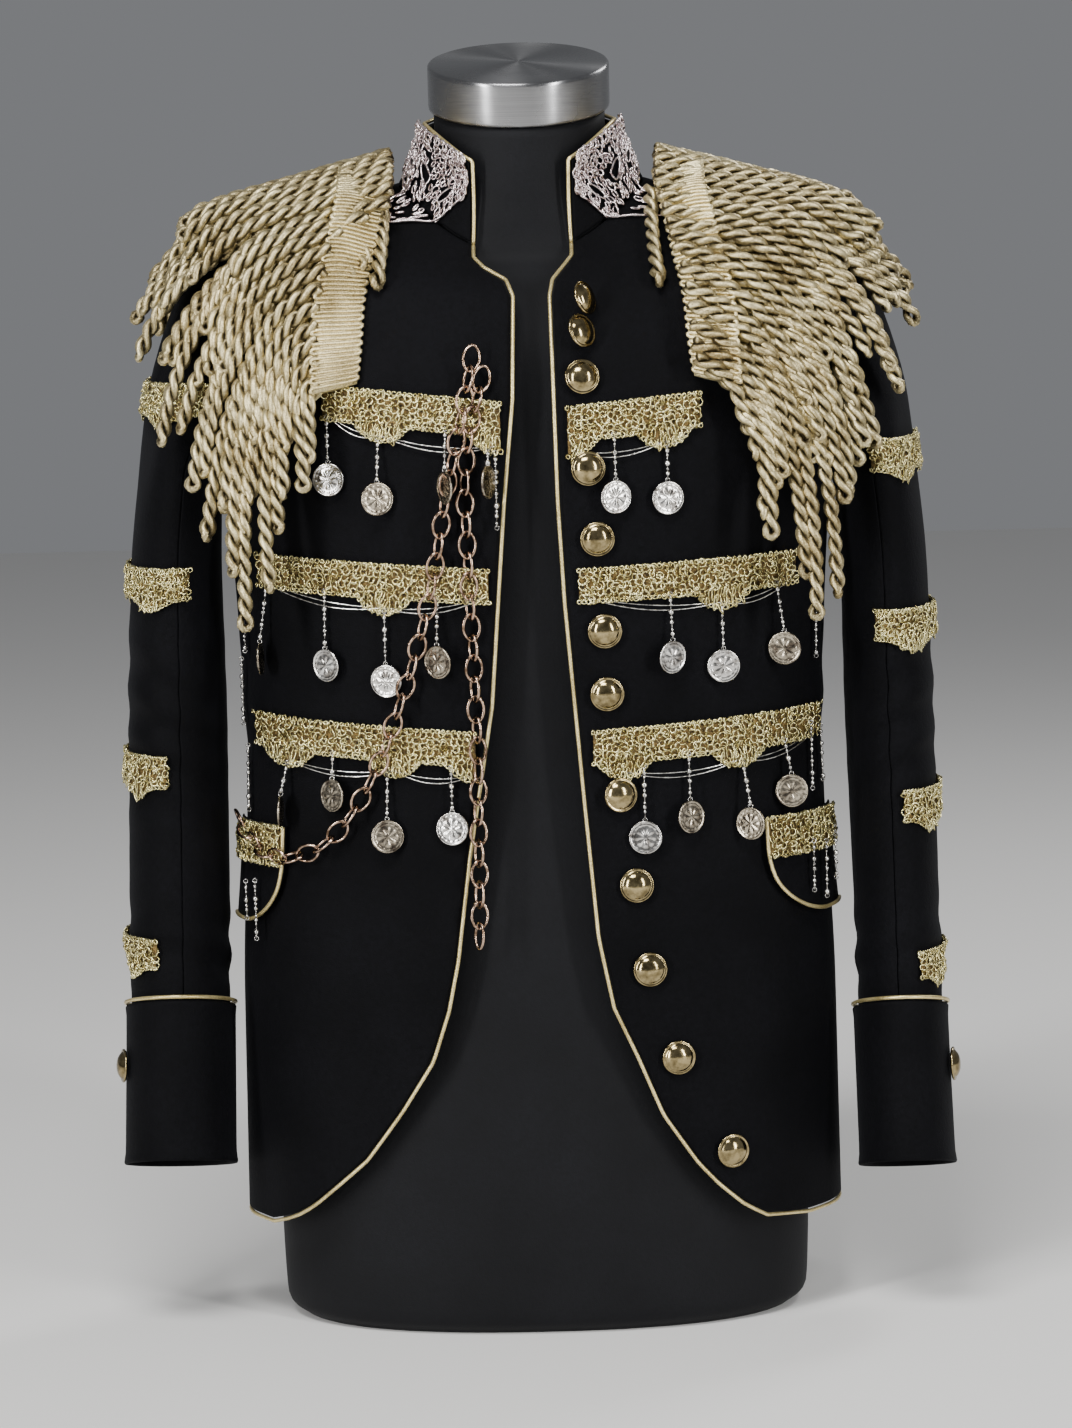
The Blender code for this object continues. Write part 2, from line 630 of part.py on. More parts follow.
def flap_places(side):
    """Grid of a pocket flap: rows down, columns from its front edge to the side line."""
    sign = SIDE_SIGN[side]
    start, end = math.radians(FLAP_START[side]), math.radians(86.5)
    rows = []
    for down in shares(5):
        row = []
        for along in shares(8):
            angle = start + (end - start) * along
            corner = max(0.0, 1 - along / 0.62)
            z_low = FLAP_BOTTOM + FLAP_ROUND * (1 - math.sqrt(max(0.0, 1 - corner**2)))
            row.append((sign * angle, FLAP_TOP + (z_low - FLAP_TOP) * down))
        rows.append(row)
    return rows


def level_of_height(z):
    return float(np.interp(z, BODY[:5, 0], range(5)))


def build_flaps():
    for side in SIDE_SIGN:
        rows = [[(a, level_of_height(z)) for a, z in row] for row in flap_places(side)]
        normals = np.array([[body_normal(a, v) for a, v in row] for row in rows])
        base = np.array([[body_point(a, v) for a, v in row] for row in rows])
        wall_grid(f"flap_{side}", base + (LIE_GAP + 0.0018) * normals, normals, "black_wool", 0.0018, 0.0)
        heights = [FLAP_TOP - down for down in (0.001, 0.013, 0.026)]
        band_rows = [[(a, level_of_height(z)) for a, _ in rows[0][:-1]] for z in heights]
        normals = np.array([[body_normal(a, v) for a, v in row] for row in band_rows])
        base = np.array([[body_point(a, v) for a, v in row] for row in band_rows])
        base += (2 * LIE_GAP + 0.0018 + TRIM) * normals
        wall_grid(f"flap_band_{side}", base, normals, "gold_trim", TRIM, 0.0)


def build_sleeve_bands():
    for side, rows in SLEEVE_BANDS.items():
        for k, (top, height, behind, before) in enumerate(rows):
            count = max(5, round((before - behind) / 20) + 1)
            points, normals = [], []
            for down in (0.0, 1.0):
                row_points, row_normals = [], []
                for t in shares(count):
                    turn = math.radians(behind + (before - behind) * t)
                    scallop = 0.30 * abs(math.sin(math.pi * t * 2))
                    ring = ring_at(side, turn, top - height * down * (0.72 + scallop))
                    n = sleeve_normal(side, turn, ring)
                    row_points.append(sleeve_point(side, turn, ring) + (0.0015 + 0.0012) * n)
                    row_normals.append(n)
                points.append(row_points)
                normals.append(row_normals)
            wall_grid(f"sleeve_band_{side}_{k + 1}", points, normals, "gold_trim", 0.0012, 0.0)


def lace_place(sign, angle, share):
    """The collar above the neckline, and the body below it."""
    if share >= 0:
        p, n = collar_wall(sign * angle, share)
        n_low = body_normal(sign * angle, NECK_LEVEL)
        n = unit(n * min(1, 0.5 + 3 * share) + n_low * max(0, 0.5 - 3 * share))
        return p + np.array([0, 0, 0.0009]), n
    level = NECK_LEVEL + share * 2.2
    p, n = body_point(sign * angle, level), body_normal(sign * angle, level)
    n_up = collar_wall(sign * angle, 0.0)[1]
    return p, unit(n + n_up * max(0, 0.5 + 3 * share))


def build_lace():
    start = collar_front_angle() + LACE_START
    skip = {(1, 1), (1, 3), (3, 2), (3, 4), (1, 5)}
    for side, sign in SIDE_SIGN.items():
        outer, inner = [], []
        for up in shares(6):
            for along in shares(8):
                angle = start + (LACE_END - start) * along
                low = float(np.interp(along, *zip(*LACE_LOW)))
                high = float(np.interp(along, *zip(*LACE_HIGH)))
                p, n = lace_place(sign, angle, low + (high - low) * up)
                outer.append(p + 0.0024 * n)
                inner.append(p + 0.0010 * n)
        shell(f"lace_{side}", outer, inner, grid_faces(6, 8, skip), "silver_lace")


def build_form():
    points, faces = [], []
    last = FORM_SECTIONS[-1][0]
    for z, width, depth, y in FORM_SECTIONS:
        round_share = min(max((z - 0.70) / 0.06, 0), 1)
        power = 2 / (2.35 - 0.35 * round_share)
        for k in range(FORM_SIDES):
            turn = 2 * math.pi * k / FORM_SIDES
            c, s = math.cos(turn), math.sin(turn)
            p = [width * math.copysign(abs(c) ** power, c), y + depth * math.copysign(abs(s) ** power, s), z]
            if z == last:
                p[2] += p[1] * math.tan(NECK_TILT)
            points.append(p)
    faces = grid_faces(len(FORM_SECTIONS), FORM_SIDES, wrap=True)
    faces += [list(range(FORM_SIDES))[::-1], list(range(len(points) - FORM_SIDES, len(points)))]
    solid("form_torso", points, faces, "black_jersey")
    rings = (
        (0.0, CAP_RADIUS - CAP_BEVEL), (CAP_BEVEL, CAP_RADIUS),
        (CAP_HEIGHT - CAP_BEVEL, CAP_RADIUS), (CAP_HEIGHT, CAP_RADIUS - CAP_BEVEL),
    )
    points = []
    for up, radius in rings:
        for k in range(24):
            turn = 2 * math.pi * k / 24
            x, y = radius * math.cos(turn), radius * math.sin(turn)
            points.append(
                [
                    x,
                    y * math.cos(NECK_TILT) - up * math.sin(NECK_TILT),
                    CAP_Z + y * math.sin(NECK_TILT) + up * math.cos(NECK_TILT),
                ]
            )
    faces = grid_faces(4, 24, wrap=True)
    faces += [list(range(24))[::-1], list(range(72, 96))]
    solid("neck_cap", points, faces, "brushed_steel")


def build_buttons():
    places = []
    for k, (x, z) in enumerate(BUTTONS):
        places.append((f"button_{k + 1:02d}", on_front(x, z), body_normal(*level_at(z, x))))
    for side in SIDE_SIGN:
        turn = math.radians(CUFF_BUTTON_ANGLE)
        n = sleeve_normal(side, turn, CUFF_BUTTON_RING)
        base = sleeve_point(side, turn, CUFF_BUTTON_RING) + (LIE_GAP + WALL) * n
        places.append((f"cuff_button_{side}", base, n))
    profile = ((0.0, 0.80), (0.0012, 1.0), (0.0026, 0.86), (0.0052, 0.42))
    for name, base, n in places:
        across = unit(np.cross(n, np.array([0, 0, 1.0])))
        up = np.cross(across, n)
        points = []
        for out, share in profile:
            for k in range(8):
                turn = 2 * math.pi * k / 8
                ring = across * math.cos(turn) + up * math.sin(turn)
                points.append(base + n * (0.0012 + out) + ring * BUTTON_RADIUS * share)
        faces = grid_faces(len(profile), 8, wrap=True)
        faces += [list(range(8))[::-1], list(range(len(points) - 8, len(points)))]
        solid(name, points, faces, "gold_metal")


def spaced(line, step):
    """Points along a line at even steps."""
    line = np.array(line)
    along = np.concatenate([[0], np.cumsum(np.linalg.norm(np.diff(line, axis=0), axis=1))])
    at = np.linspace(0, along[-1], max(2, round(along[-1] / step) + 1))
    return np.stack([np.interp(at, along, line[:, k]) for k in range(line.shape[1])], axis=1)


def build_chains():
    for name, table in (("chain_loop", CHAIN_LOOP), ("chain_tail", CHAIN_TAIL)):
        path = [(*on_front(-x, z, CHAIN_OUT[name]), -x, z) for x, z in table]
        path = spaced(path, CHAIN_LINK * 0.6)
        outer, inner, faces = [], [], []
        for i, row in enumerate(path):
            n = body_normal(*level_at(row[4], row[3]))
            along = unit(path[min(i + 1, len(path) - 1), :3] - path[max(i - 1, 0), :3])
            across = unit(np.cross(along, n)) * (CHAIN_HALF_WIDTH if i % 2 else CHAIN_HALF_WIDTH * 0.4)
            for side in (-1, 1):
                outer.append(row[:3] + side * across + n * 0.0009)
                inner.append(row[:3] + side * across - n * 0.0009)
        shell(name, outer, inner, grid_faces(len(path), 2), "gold_metal")


def garment_tree():
    """The outside of the body and the sleeves, to keep the strands clear of them."""
    points, faces = [], []
    for side, sign in SIDE_SIGN.items():
        first = len(points)
        levels = [4 + 6 * t for t in shares(31)]
        for v in levels:
            points += [body_point(sign * math.pi * t, v) for t in shares(41)]
        part = [[first + i for i in face] for face in grid_faces(31, 41)]
        faces += part if sign > 0 else [face[::-1] for face in part]
        first = len(points)
        rings = [4 * t for t in shares(25)]
        for ring in rings:
            points += [sleeve_point(side, 2 * math.pi * t, ring) for t in shares(37)]
        part = [[first + i for i in face] for face in grid_faces(25, 37)]
        faces += part if sign > 0 else [face[::-1] for face in part]
    return BVHTree.FromPolygons([Vector(p) for p in points], faces)


def curve_at(line, share):
    line = np.array(line)
    station = share * (len(line) - 1)
    table = np.stack([slopes(line[:, k]) for k in range(3)], axis=1)
    return at_station(line, table, station)


def lifted(tree, point, clearance):
    """A point moved out until it is this far from the garment, and the way out."""
    way = None
    for _ in range(4):
        place, normal, _, _ = tree.find_nearest(Vector(point))
        place, normal = np.array(place), np.array(normal)
        high = float(np.dot(point - place, normal))
        if way is None:
            way = normal
        if high >= clearance:
            break
        point = point + normal * (clearance - high)
        way = normal
    return point, way


def strand_path(tree, share, mirror, height, sections, sway):
    """Points and ways out of one strand, from its header to its end, all at one height over the garment."""
    head = curve_at(HEADER_LINE, share) * mirror
    over = curve_at(SHOULDER_LINE, share) * mirror
    tip = curve_at(REACH_LINE, share) * mirror
    base = STRAND_CLEAR + STRAND_THICK / 2
    path = []
    for i in range(1, max(LAYER_SECTIONS) + 1):
        t = sway * i / max(LAYER_SECTIONS)
        p = (1 - t) ** 2 * head + 2 * t * (1 - t) * over + t * t * tip
        path.append(lifted(tree, p, base))
    for _ in range(8):
        for i in range(len(path) - 1):
            middle = (path[i][0] + path[i + 1][0]) / 2
            raised, way = lifted(tree, middle, base - 0.0004)
            short = np.linalg.norm(raised - middle)
            if short > 1e-5:
                path[i] = (path[i][0] + way * short, path[i][1])
                path[i + 1] = (path[i + 1][0] + way * short, path[i + 1][1])
    return [(p + way * (height - base), way) for p, way in path[:sections]]


def build_fringe():
    tree = garment_tree()
    header = np.array([curve_at(HEADER_LINE, t) for t in shares(41)])
    length = np.sum(np.linalg.norm(np.diff(header, axis=0), axis=1))
    half = 0.5 * STRAND_WIDTH / length
    for side, sign in SIDE_SIGN.items():
        mirror = np.array([sign, 1, 1])
        for layer, sections in enumerate(LAYER_SECTIONS):
            height = STRAND_CLEAR + STRAND_THICK / 2 + layer * STRAND_LAYER_STEP
            middles = [(k + 0.5) / STRANDS_PER_LAYER for k in range(STRANDS_PER_LAYER)]
            outer, inner, faces, roots = [], [], [], []
            for middle in middles:
                for edge in (-1, 1):
                    share = middle + edge * half
                    head = curve_at(HEADER_LINE, share) * mirror
                    away = unit(curve_at(SHOULDER_LINE, share) * mirror - head)
                    low, way = lifted(tree, head, STRAND_CLEAR + STRAND_THICK / 2)
                    high, high_way = lifted(tree, head - away * HEADER_WIDTH, STRAND_CLEAR + STRAND_THICK / 2)
                    raise_by = layer * STRAND_LAYER_STEP
                    roots.append(low + way * raise_by)
                    for p, out in ((high + high_way * raise_by, high_way), (roots[-1], way)):
                        outer.append(p + out * STRAND_THICK / 2)
                        inner.append(p - out * STRAND_THICK / 2)
            for i in range(len(roots) - 1):
                faces.append([2 * i, 2 * i + 1, 2 * i + 3, 2 * i + 2])
            for k, middle in enumerate(middles):
                first, second = 4 * k + 1, 4 * k + 3
                last = (roots[2 * k] + roots[2 * k + 1]) / 2
                side_way = unit(roots[2 * k + 1] - roots[2 * k])
                sway = 1 + 0.04 * math.sin(150 * middle)
                for p, way in strand_path(tree, middle, mirror, height, sections, sway):
                    along = unit(p - last)
                    last = p
                    across = unit(np.cross(along, way))
                    across = across if np.dot(across, side_way) > 0 else -across
                    thick = unit(way - along * np.dot(way, along))
                    for edge in (-1, 1):
                        outer.append(p + across * edge * STRAND_WIDTH / 2 + thick * STRAND_THICK / 2)
                        inner.append(p + across * edge * STRAND_WIDTH / 2 - thick * STRAND_THICK / 2)
                    a, b = len(outer) - 2, len(outer) - 1
                    faces.append([first, a, b, second])
                    first, second = a, b
            shell(f"fringe_{side}_{layer + 1}", outer, inner, faces, "gold_trim")


for old in list(bpy.data.objects):
    bpy.data.objects.remove(old)

build_form()
build_body()
build_collar()
build_sleeves()
build_piping()
build_bands()
build_flaps()
build_sleeve_bands()
build_lace()
build_buttons()
build_chains()
build_fringe()
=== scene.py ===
"""The visual model of a black stage jacket with gold trims on a dress form.

Metres. The wearer faces -Y, +X is the wearer's left, and Z is up from the form's base.
"""

import math

import bpy
import numpy as np
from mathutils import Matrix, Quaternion, Vector
from mathutils.bvhtree import BVHTree


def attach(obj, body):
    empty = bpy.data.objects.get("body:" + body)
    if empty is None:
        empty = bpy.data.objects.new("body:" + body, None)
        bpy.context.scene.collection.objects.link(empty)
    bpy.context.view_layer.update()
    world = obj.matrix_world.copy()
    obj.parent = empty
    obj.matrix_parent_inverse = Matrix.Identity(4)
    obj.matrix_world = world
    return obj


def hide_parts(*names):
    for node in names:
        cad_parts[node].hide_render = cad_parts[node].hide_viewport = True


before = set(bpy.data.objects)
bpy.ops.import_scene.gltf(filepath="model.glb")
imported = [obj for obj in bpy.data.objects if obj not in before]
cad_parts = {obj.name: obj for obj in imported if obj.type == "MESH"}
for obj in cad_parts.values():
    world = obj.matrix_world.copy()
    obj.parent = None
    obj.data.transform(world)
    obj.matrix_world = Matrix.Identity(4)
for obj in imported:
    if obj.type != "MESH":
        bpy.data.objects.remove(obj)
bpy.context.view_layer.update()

# Dress form
# A hard torso in a tight black jersey cover, flat at the foot and drawn in to the neck.
# It carries the jacket on its shoulders. Table: height, half width, half depth, forward.
FORM_SECTIONS = np.array((
    (0.000, 0.166, 0.100, 0.000), (0.010, 0.176, 0.109, 0.000), (0.110, 0.179, 0.112, 0.000),
    (0.240, 0.170, 0.108, 0.002), (0.360, 0.146, 0.098, 0.003), (0.460, 0.152, 0.102, 0.002),
    (0.560, 0.168, 0.106, 0.000), (0.640, 0.168, 0.098, 0.000), (0.675, 0.160, 0.082, 0.000),
    (0.695, 0.145, 0.066, 0.000), (0.709, 0.120, 0.0560, 0.000), (0.724, 0.090, 0.0540, 0.000),
    (0.738, 0.067, 0.0540, 0.000), (0.754, 0.0570, 0.0550, 0.000), (0.8035, 0.0565, 0.0565, 0.000),
))
FORM_SIDES = 72
FORM_ROWS = 85
NECK_TILT = math.radians(14)
JERSEY_BLACK = (0.0034, 0.0035, 0.0042, 1)
JERSEY_LIGHT = (0.0062, 0.0064, 0.0078, 1)


def slopes(table):
    """Slopes of each column at evenly spaced rows that never overshoot."""
    steps = np.diff(table, axis=0)
    product = steps[:-1] * steps[1:]
    inner = np.where(product > 0, 2 * product / (steps[:-1] + steps[1:] + 1e-12), 0.0)
    return np.concatenate([steps[:1], inner, steps[-1:]])


def read_table(table, station):
    """Each column of a table at stations between its rows."""
    station = np.asarray(station, float)
    i = np.clip(station.astype(int), 0, len(table) - 2)
    t = (station - i)[..., None]
    bend = slopes(table)
    return (
        (2 * t**3 - 3 * t**2 + 1) * table[i]
        + (t**3 - 2 * t**2 + t) * bend[i]
        + (3 * t**2 - 2 * t**3) * table[i + 1]
        + (t**3 - t**2) * bend[i + 1]
    )


def around(count):
    """Even angles once round."""
    return np.linspace(0, 2 * math.pi, count, endpoint=False)


def grid_quads(rows, columns, wrap=False):
    """Quads of a grid of points stored row by row."""
    r, c = np.meshgrid(np.arange(rows - 1), np.arange(columns if wrap else columns - 1), indexing="ij")
    a, b = r * columns + c, r * columns + (c + 1) % columns
    return np.stack([a, b, b + columns, a + columns], axis=-1).reshape(-1, 4)


def lid_quads(sides, first=0):
    """Quads that close a ring with an even number of points."""
    i = np.arange(sides // 2 - 1)
    return first + np.stack([i, i + 1, sides - 2 - i, sides - 1 - i], axis=-1)


def closed_quads(rows, sides):
    """Quads of a tube of rings with both ends closed."""
    return np.concatenate([
        grid_quads(rows, sides, wrap=True),
        lid_quads(sides)[:, ::-1],
        lid_quads(sides, (rows - 1) * sides),
    ])


def piece(name, points, quads, look, slot, *nodes, turned=None):
    """A smooth mesh that rides on the part. Quads that face inwards as a whole are turned round."""
    points = np.asarray(points, float).reshape(-1, 3)
    quads = np.asarray(quads)
    corners = points[quads]
    volume = np.einsum("ij,ij->", corners[:, 0], np.cross(corners[:, 1], corners[:, 2]))
    volume += np.einsum("ij,ij->", corners[:, 0], np.cross(corners[:, 2], corners[:, 3]))
    if volume < 0:
        quads = quads[:, ::-1]
    mesh = bpy.data.meshes.new(name)
    mesh.from_pydata(points.tolist(), [], quads.tolist())
    mesh.polygons.foreach_set("use_smooth", np.ones(len(quads), bool))
    # The UV layer carries a share of painted shade for the colour, low in the grooves of the ropes.
    if turned is not None:
        layer = mesh.uv_layers.new(name="turned")
        turned = np.asarray(turned, float).reshape(-1, 2)
        layer.data.foreach_set("uv", turned[quads.reshape(-1)].reshape(-1))
    mesh.materials.append(look)
    made = bpy.data.objects.new(name, mesh)
    bpy.context.scene.collection.objects.link(made)
    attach(made, "root")
    if nodes:
        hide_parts(*nodes)
    return made


def node(tree, kind, inputs=None, **settings):
    """A node with its settings, and with each input given a value or a link."""
    made = tree.nodes.new(kind)
    for key, value in settings.items():
        setattr(made, key, value)
    for key, value in (inputs or {}).items():
        if isinstance(value, bpy.types.NodeSocket):
            tree.links.new(value, made.inputs[key])
        else:
            made.inputs[key].default_value = value
    return made


def maths(tree, operation, *values):
    """The result of one sum on numbers and sockets."""
    return node(tree, "ShaderNodeMath", dict(enumerate(values)), operation=operation).outputs[0]


def noise(tree, place, scale, detail, **more):
    inputs = {"Vector": place, "Scale": scale, "Detail": detail, **more}
    return node(tree, "ShaderNodeTexNoise", inputs).outputs["Fac"]


def between(tree, value, low, high):
    """A share that rises from 0 to 1 between two values."""
    return node(tree, "ShaderNodeMapRange", {"Value": value, "From Min": low, "From Max": high}).outputs[0]


def mixed(tree, share, low, high):
    """A colour between two, by a share."""
    inputs = {0: share, 6: low, 7: high}
    return node(tree, "ShaderNodeMix", inputs, data_type="RGBA").outputs[2]


def effect(name, inputs):
    """A node group for an effect that finishes share: the group, the place, and its inputs and outputs."""
    group = bpy.data.node_groups.new(name, "ShaderNodeTree")
    for label, value in inputs.items():
        kind = "NodeSocketColor" if isinstance(value, tuple) else "NodeSocketFloat"
        group.interface.new_socket(label, in_out="INPUT", socket_type=kind).default_value = value
    group.interface.new_socket("Colour", in_out="OUTPUT", socket_type="NodeSocketColor")
    for label in ("Roughness", "Height"):
        group.interface.new_socket(label, in_out="OUTPUT", socket_type="NodeSocketFloat")
    place = node(group, "ShaderNodeTexCoord").outputs["Object"]
    return group, place, node(group, "NodeGroupInput").outputs, node(group, "NodeGroupOutput").inputs


def finish(name, group, values, bump, depth, **constants):
    """A material: an effect feeds colour, roughness and bump, and the rest is constant."""
    look = bpy.data.materials.new(name)
    look.use_nodes = True
    tree = look.node_tree
    shader = tree.nodes["Principled BSDF"]
    for key, value in constants.items():
        shader.inputs[key.replace("_", " ")].default_value = value
    surface = node(tree, "ShaderNodeGroup", node_tree=group)
    for key, value in values.items():
        surface.inputs[key].default_value = value
    relief = {"Strength": bump, "Distance": depth, "Height": surface.outputs["Height"]}
    tree.links.new(surface.outputs["Colour"], shader.inputs["Base Color"])
    tree.links.new(surface.outputs["Roughness"], shader.inputs["Roughness"])
    tree.links.new(node(tree, "ShaderNodeBump", relief).outputs["Normal"], shader.inputs["Normal"])
    return look


napped, place, given, out = effect("napped cloth", {
    "Dark": (0.01, 0.01, 0.01, 1), "Light": (0.02, 0.02, 0.02, 1),
    "Thread": 0.0006, "Nap": 0.004, "Matt": 0.8,
})
fine = maths(napped, "DIVIDE", 1.0, given["Thread"])
threads = node(napped, "ShaderNodeTexVoronoi", {"Vector": place, "Scale": fine}).outputs["Distance"]
nap = noise(napped, place, maths(napped, "DIVIDE", 1.0, given["Nap"]), 4.0)
tone = between(napped, maths(napped, "MULTIPLY", nap, noise(napped, place, 14.0, 2.0)), 0.12, 0.42)
napped.links.new(mixed(napped, tone, given["Dark"], given["Light"]), out["Colour"])
napped.links.new(maths(napped, "MULTIPLY_ADD", nap, 0.12, given["Matt"]), out["Roughness"])
napped.links.new(maths(napped, "MULTIPLY_ADD", threads, 0.5, nap), out["Height"])

jersey = finish(
    "black jersey", napped,
    {"Dark": JERSEY_BLACK, "Light": JERSEY_LIGHT, "Thread": 0.0007, "Nap": 0.0022, "Matt": 0.62},
    bump=0.35, depth=0.0004, Sheen_Weight=0.03, Sheen_Roughness=0.4, Specular_IOR_Level=0.14,
)
levels = np.linspace(0, len(FORM_SECTIONS) - 1, FORM_ROWS)
turns = around(FORM_SIDES)
z, width, depth, forward = read_table(FORM_SECTIONS, levels).T[..., None]
power = 2 / (2.35 - 0.35 * np.clip((z - 0.70) / 0.06, 0, 1))
points = np.stack([
    width * np.sign(np.cos(turns)) * np.abs(np.cos(turns)) ** power,
    forward + depth * np.sign(np.sin(turns)) * np.abs(np.sin(turns)) ** power,
    z + 0 * turns,
], axis=-1)
points[..., 2] += points[..., 1] * math.tan(NECK_TILT) * np.clip((z - 0.754) / 0.0495, 0, 1)
piece("jersey_torso", points, closed_quads(FORM_ROWS, FORM_SIDES), jersey, "black_jersey", "form_torso")

# Neck cap
# A turned disc of steel pressed into the neck, tilted a little forward, its edges rounded.
# The lathe left fine rings on its top and round its side.
CAP_Z, CAP_SIDES = 0.8040, 96
CAP_PROFILE = (
    (0.0560, 0.0), (0.0590, 0.0004), (0.0598, 0.0014), (0.0600, 0.003), (0.0600, 0.012),
    (0.0600, 0.021), (0.0600, 0.0270), (0.0598, 0.0288), (0.0591, 0.0297), (0.0578, 0.0300),
    (0.0440, 0.0300), (0.0300, 0.0300), (0.0160, 0.0300), (0.0060, 0.0300), (0.0020, 0.0300),
)
STEEL_BRIGHT = (0.40, 0.40, 0.40, 1)
STEEL_DARK = (0.20, 0.20, 0.21, 1)


def turned_points(profile, sides, centre, axis, across):
    """Rings of a turned shape about an axis, from rows of radius and distance along it."""
    up = np.cross(axis, across)
    turn = around(sides)[:, None]
    ring = np.cos(turn) * across + np.sin(turn) * up
    return np.array([centre + axis * along + ring * radius for radius, along in profile])


lathed, place, given, out = effect("turned rings", {
    "Bright": (0.6, 0.6, 0.6, 1), "Dark": (0.4, 0.4, 0.4, 1), "Gloss": 0.25,
})
axes = node(lathed, "ShaderNodeSeparateXYZ", {0: place}).outputs
flat = node(lathed, "ShaderNodeCombineXYZ", {"X": axes["X"], "Y": axes["Y"]}).outputs[0]
radius = node(lathed, "ShaderNodeVectorMath", {0: flat}, operation="LENGTH").outputs["Value"]
rings = node(lathed, "ShaderNodeCombineXYZ", {"X": radius, "Y": axes["Z"]}).outputs[0]
lines = noise(lathed, rings, 1500.0, 3.0)
lathed.links.new(mixed(lathed, lines, given["Dark"], given["Bright"]), out["Colour"])
cloud = noise(lathed, place, 22.0, 3.0)
lathed.links.new(maths(lathed, "MULTIPLY_ADD", cloud, 0.14, given["Gloss"]), out["Roughness"])
lathed.links.new(lines, out["Height"])

steel = finish(
    "brushed steel", lathed, {"Bright": STEEL_BRIGHT, "Dark": STEEL_DARK, "Gloss": 0.20},
    bump=0.10, depth=0.0002, Metallic=1.0, Anisotropic=0.85, Anisotropic_Rotation=0.25,
)
round_way = node(steel.node_tree, "ShaderNodeTangent", direction_type="RADIAL", axis="Z").outputs[0]
steel.node_tree.links.new(round_way, steel.node_tree.nodes["Principled BSDF"].inputs["Tangent"])
axis = np.array([0, -math.sin(NECK_TILT), math.cos(NECK_TILT)])
points = turned_points(CAP_PROFILE, CAP_SIDES, np.array([0, 0, CAP_Z]), axis, np.array([1.0, 0, 0]))
piece("neck_disc", points, closed_quads(len(CAP_PROFILE), CAP_SIDES), steel, "brushed_steel", "neck_cap")

# Fronts and backs
# Four panels of black wool, each cut in one piece, sewn at the shoulders, sides and centre back.
# The fronts hang open and curve away to the side seams at the hem. Table: heights of each level
# at the side, the front and the back, half width, depth to front and back, and squareness.
WALL, SEAM_GAP = 0.0022, 0.0005
BODY = np.array((
    (0.072, 0.072, 0.068, 0.1990, 0.128, 0.124, 2.35),
    (0.220, 0.220, 0.220, 0.1985, 0.126, 0.119, 2.35),
    (0.370, 0.370, 0.370, 0.1930, 0.117, 0.106, 2.30),
    (0.470, 0.470, 0.470, 0.1960, 0.121, 0.112, 2.30),
    (0.560, 0.560, 0.560, 0.2010, 0.125, 0.118, 2.30),
    (0.630, 0.622, 0.632, 0.2030, 0.121, 0.120, 2.40),
    (0.685, 0.662, 0.692, 0.2055, 0.108, 0.112, 2.40),
    (0.718, 0.686, 0.728, 0.2060, 0.094, 0.100, 2.30),
    (0.733, 0.697, 0.745, 0.1650, 0.082, 0.086, 2.20),
    (0.745, 0.704, 0.760, 0.1200, 0.072, 0.074, 2.10),
    (0.755, 0.708, 0.772, 0.0810, 0.064, 0.064, 2.00),
))
HEM_WAVE = 0.005
ARMPIT_LEVEL, TIP_LEVEL, NECK_LEVEL = 4, 7, 10
ARMHOLE_BITE = math.radians(25)
EDGES = {
    "right": np.array((
        (0.072, 0.184), (0.080, 0.166), (0.089, 0.153), (0.122, 0.118), (0.155, 0.094), (0.188, 0.073),
        (0.221, 0.062), (0.254, 0.055), (0.320, 0.046), (0.419, 0.029), (0.551, 0.018), (0.617, 0.011),
        (0.683, 0.009), (0.693, 0.013), (0.701, 0.027), (0.708, 0.034),
    )),
    "left": np.array((
        (0.072, 0.178), (0.076, 0.148), (0.086, 0.132), (0.101, 0.116), (0.116, 0.103), (0.149, 0.081),
        (0.188, 0.065), (0.221, 0.050), (0.267, 0.041), (0.353, 0.034), (0.485, 0.024), (0.551, 0.021),
        (0.683, 0.019), (0.693, 0.021), (0.701, 0.028), (0.708, 0.034),
    )),
}
SIDE_SIGN = {"right": -1, "left": 1}
PANELS = {  # flat width, length and area
    "front_right": (0.275, 0.700, 0.134), "front_left": (0.275, 0.700, 0.145),
    "back_right": (0.300, 0.740, 0.176), "back_left": (0.300, 0.740, 0.169),
}
WOOL_BLACK = (0.0012, 0.0012, 0.0016, 1)
WOOL_LIGHT = (0.0032, 0.0032, 0.0042, 1)


def unit(v):
    return v / np.maximum(np.linalg.norm(v, axis=-1, keepdims=True), 1e-9)


def body_surface(angle, level):
    """Outside of the jacket: angle 0 is the front middle, positive to +X, 180 degrees the back."""
    angle, level = np.broadcast_arrays(np.asarray(angle, float), np.asarray(level, float))
    side_z, front_z, back_z, width, front, back, square = np.moveaxis(read_table(BODY, level), -1, 0)
    c, s = np.cos(angle), np.sin(angle)
    wave = HEM_WAVE * np.maximum(-c, 0) * np.maximum(1 - level / 2, 0) ** 2 * np.cos(6 * angle)
    x = (width + wave) * np.sign(s) * np.abs(s) ** (2 / square)
    y = -(np.where(c >= 0, front, back) + wave) * np.sign(c) * np.abs(c) ** (2 / square)
    return np.stack([x, y, side_z + (np.where(c >= 0, front_z, back_z) - side_z) * c * c], axis=-1)


def surface_normal(surface, a, b, step_a=1e-3, step_b=1e-3):
    across = surface(a + step_a, b) - surface(a - step_a, b)
    return unit(np.cross(across, surface(a, b + step_b) - surface(a, b - step_b)))


def body_normal(angle, level):
    return surface_normal(body_surface, angle, np.clip(level, 0.001, NECK_LEVEL - 0.001))


def hump(value, middle, width):
    """A smooth rise to 1 at the middle."""
    return np.exp(-(((value - middle) / width) ** 2))


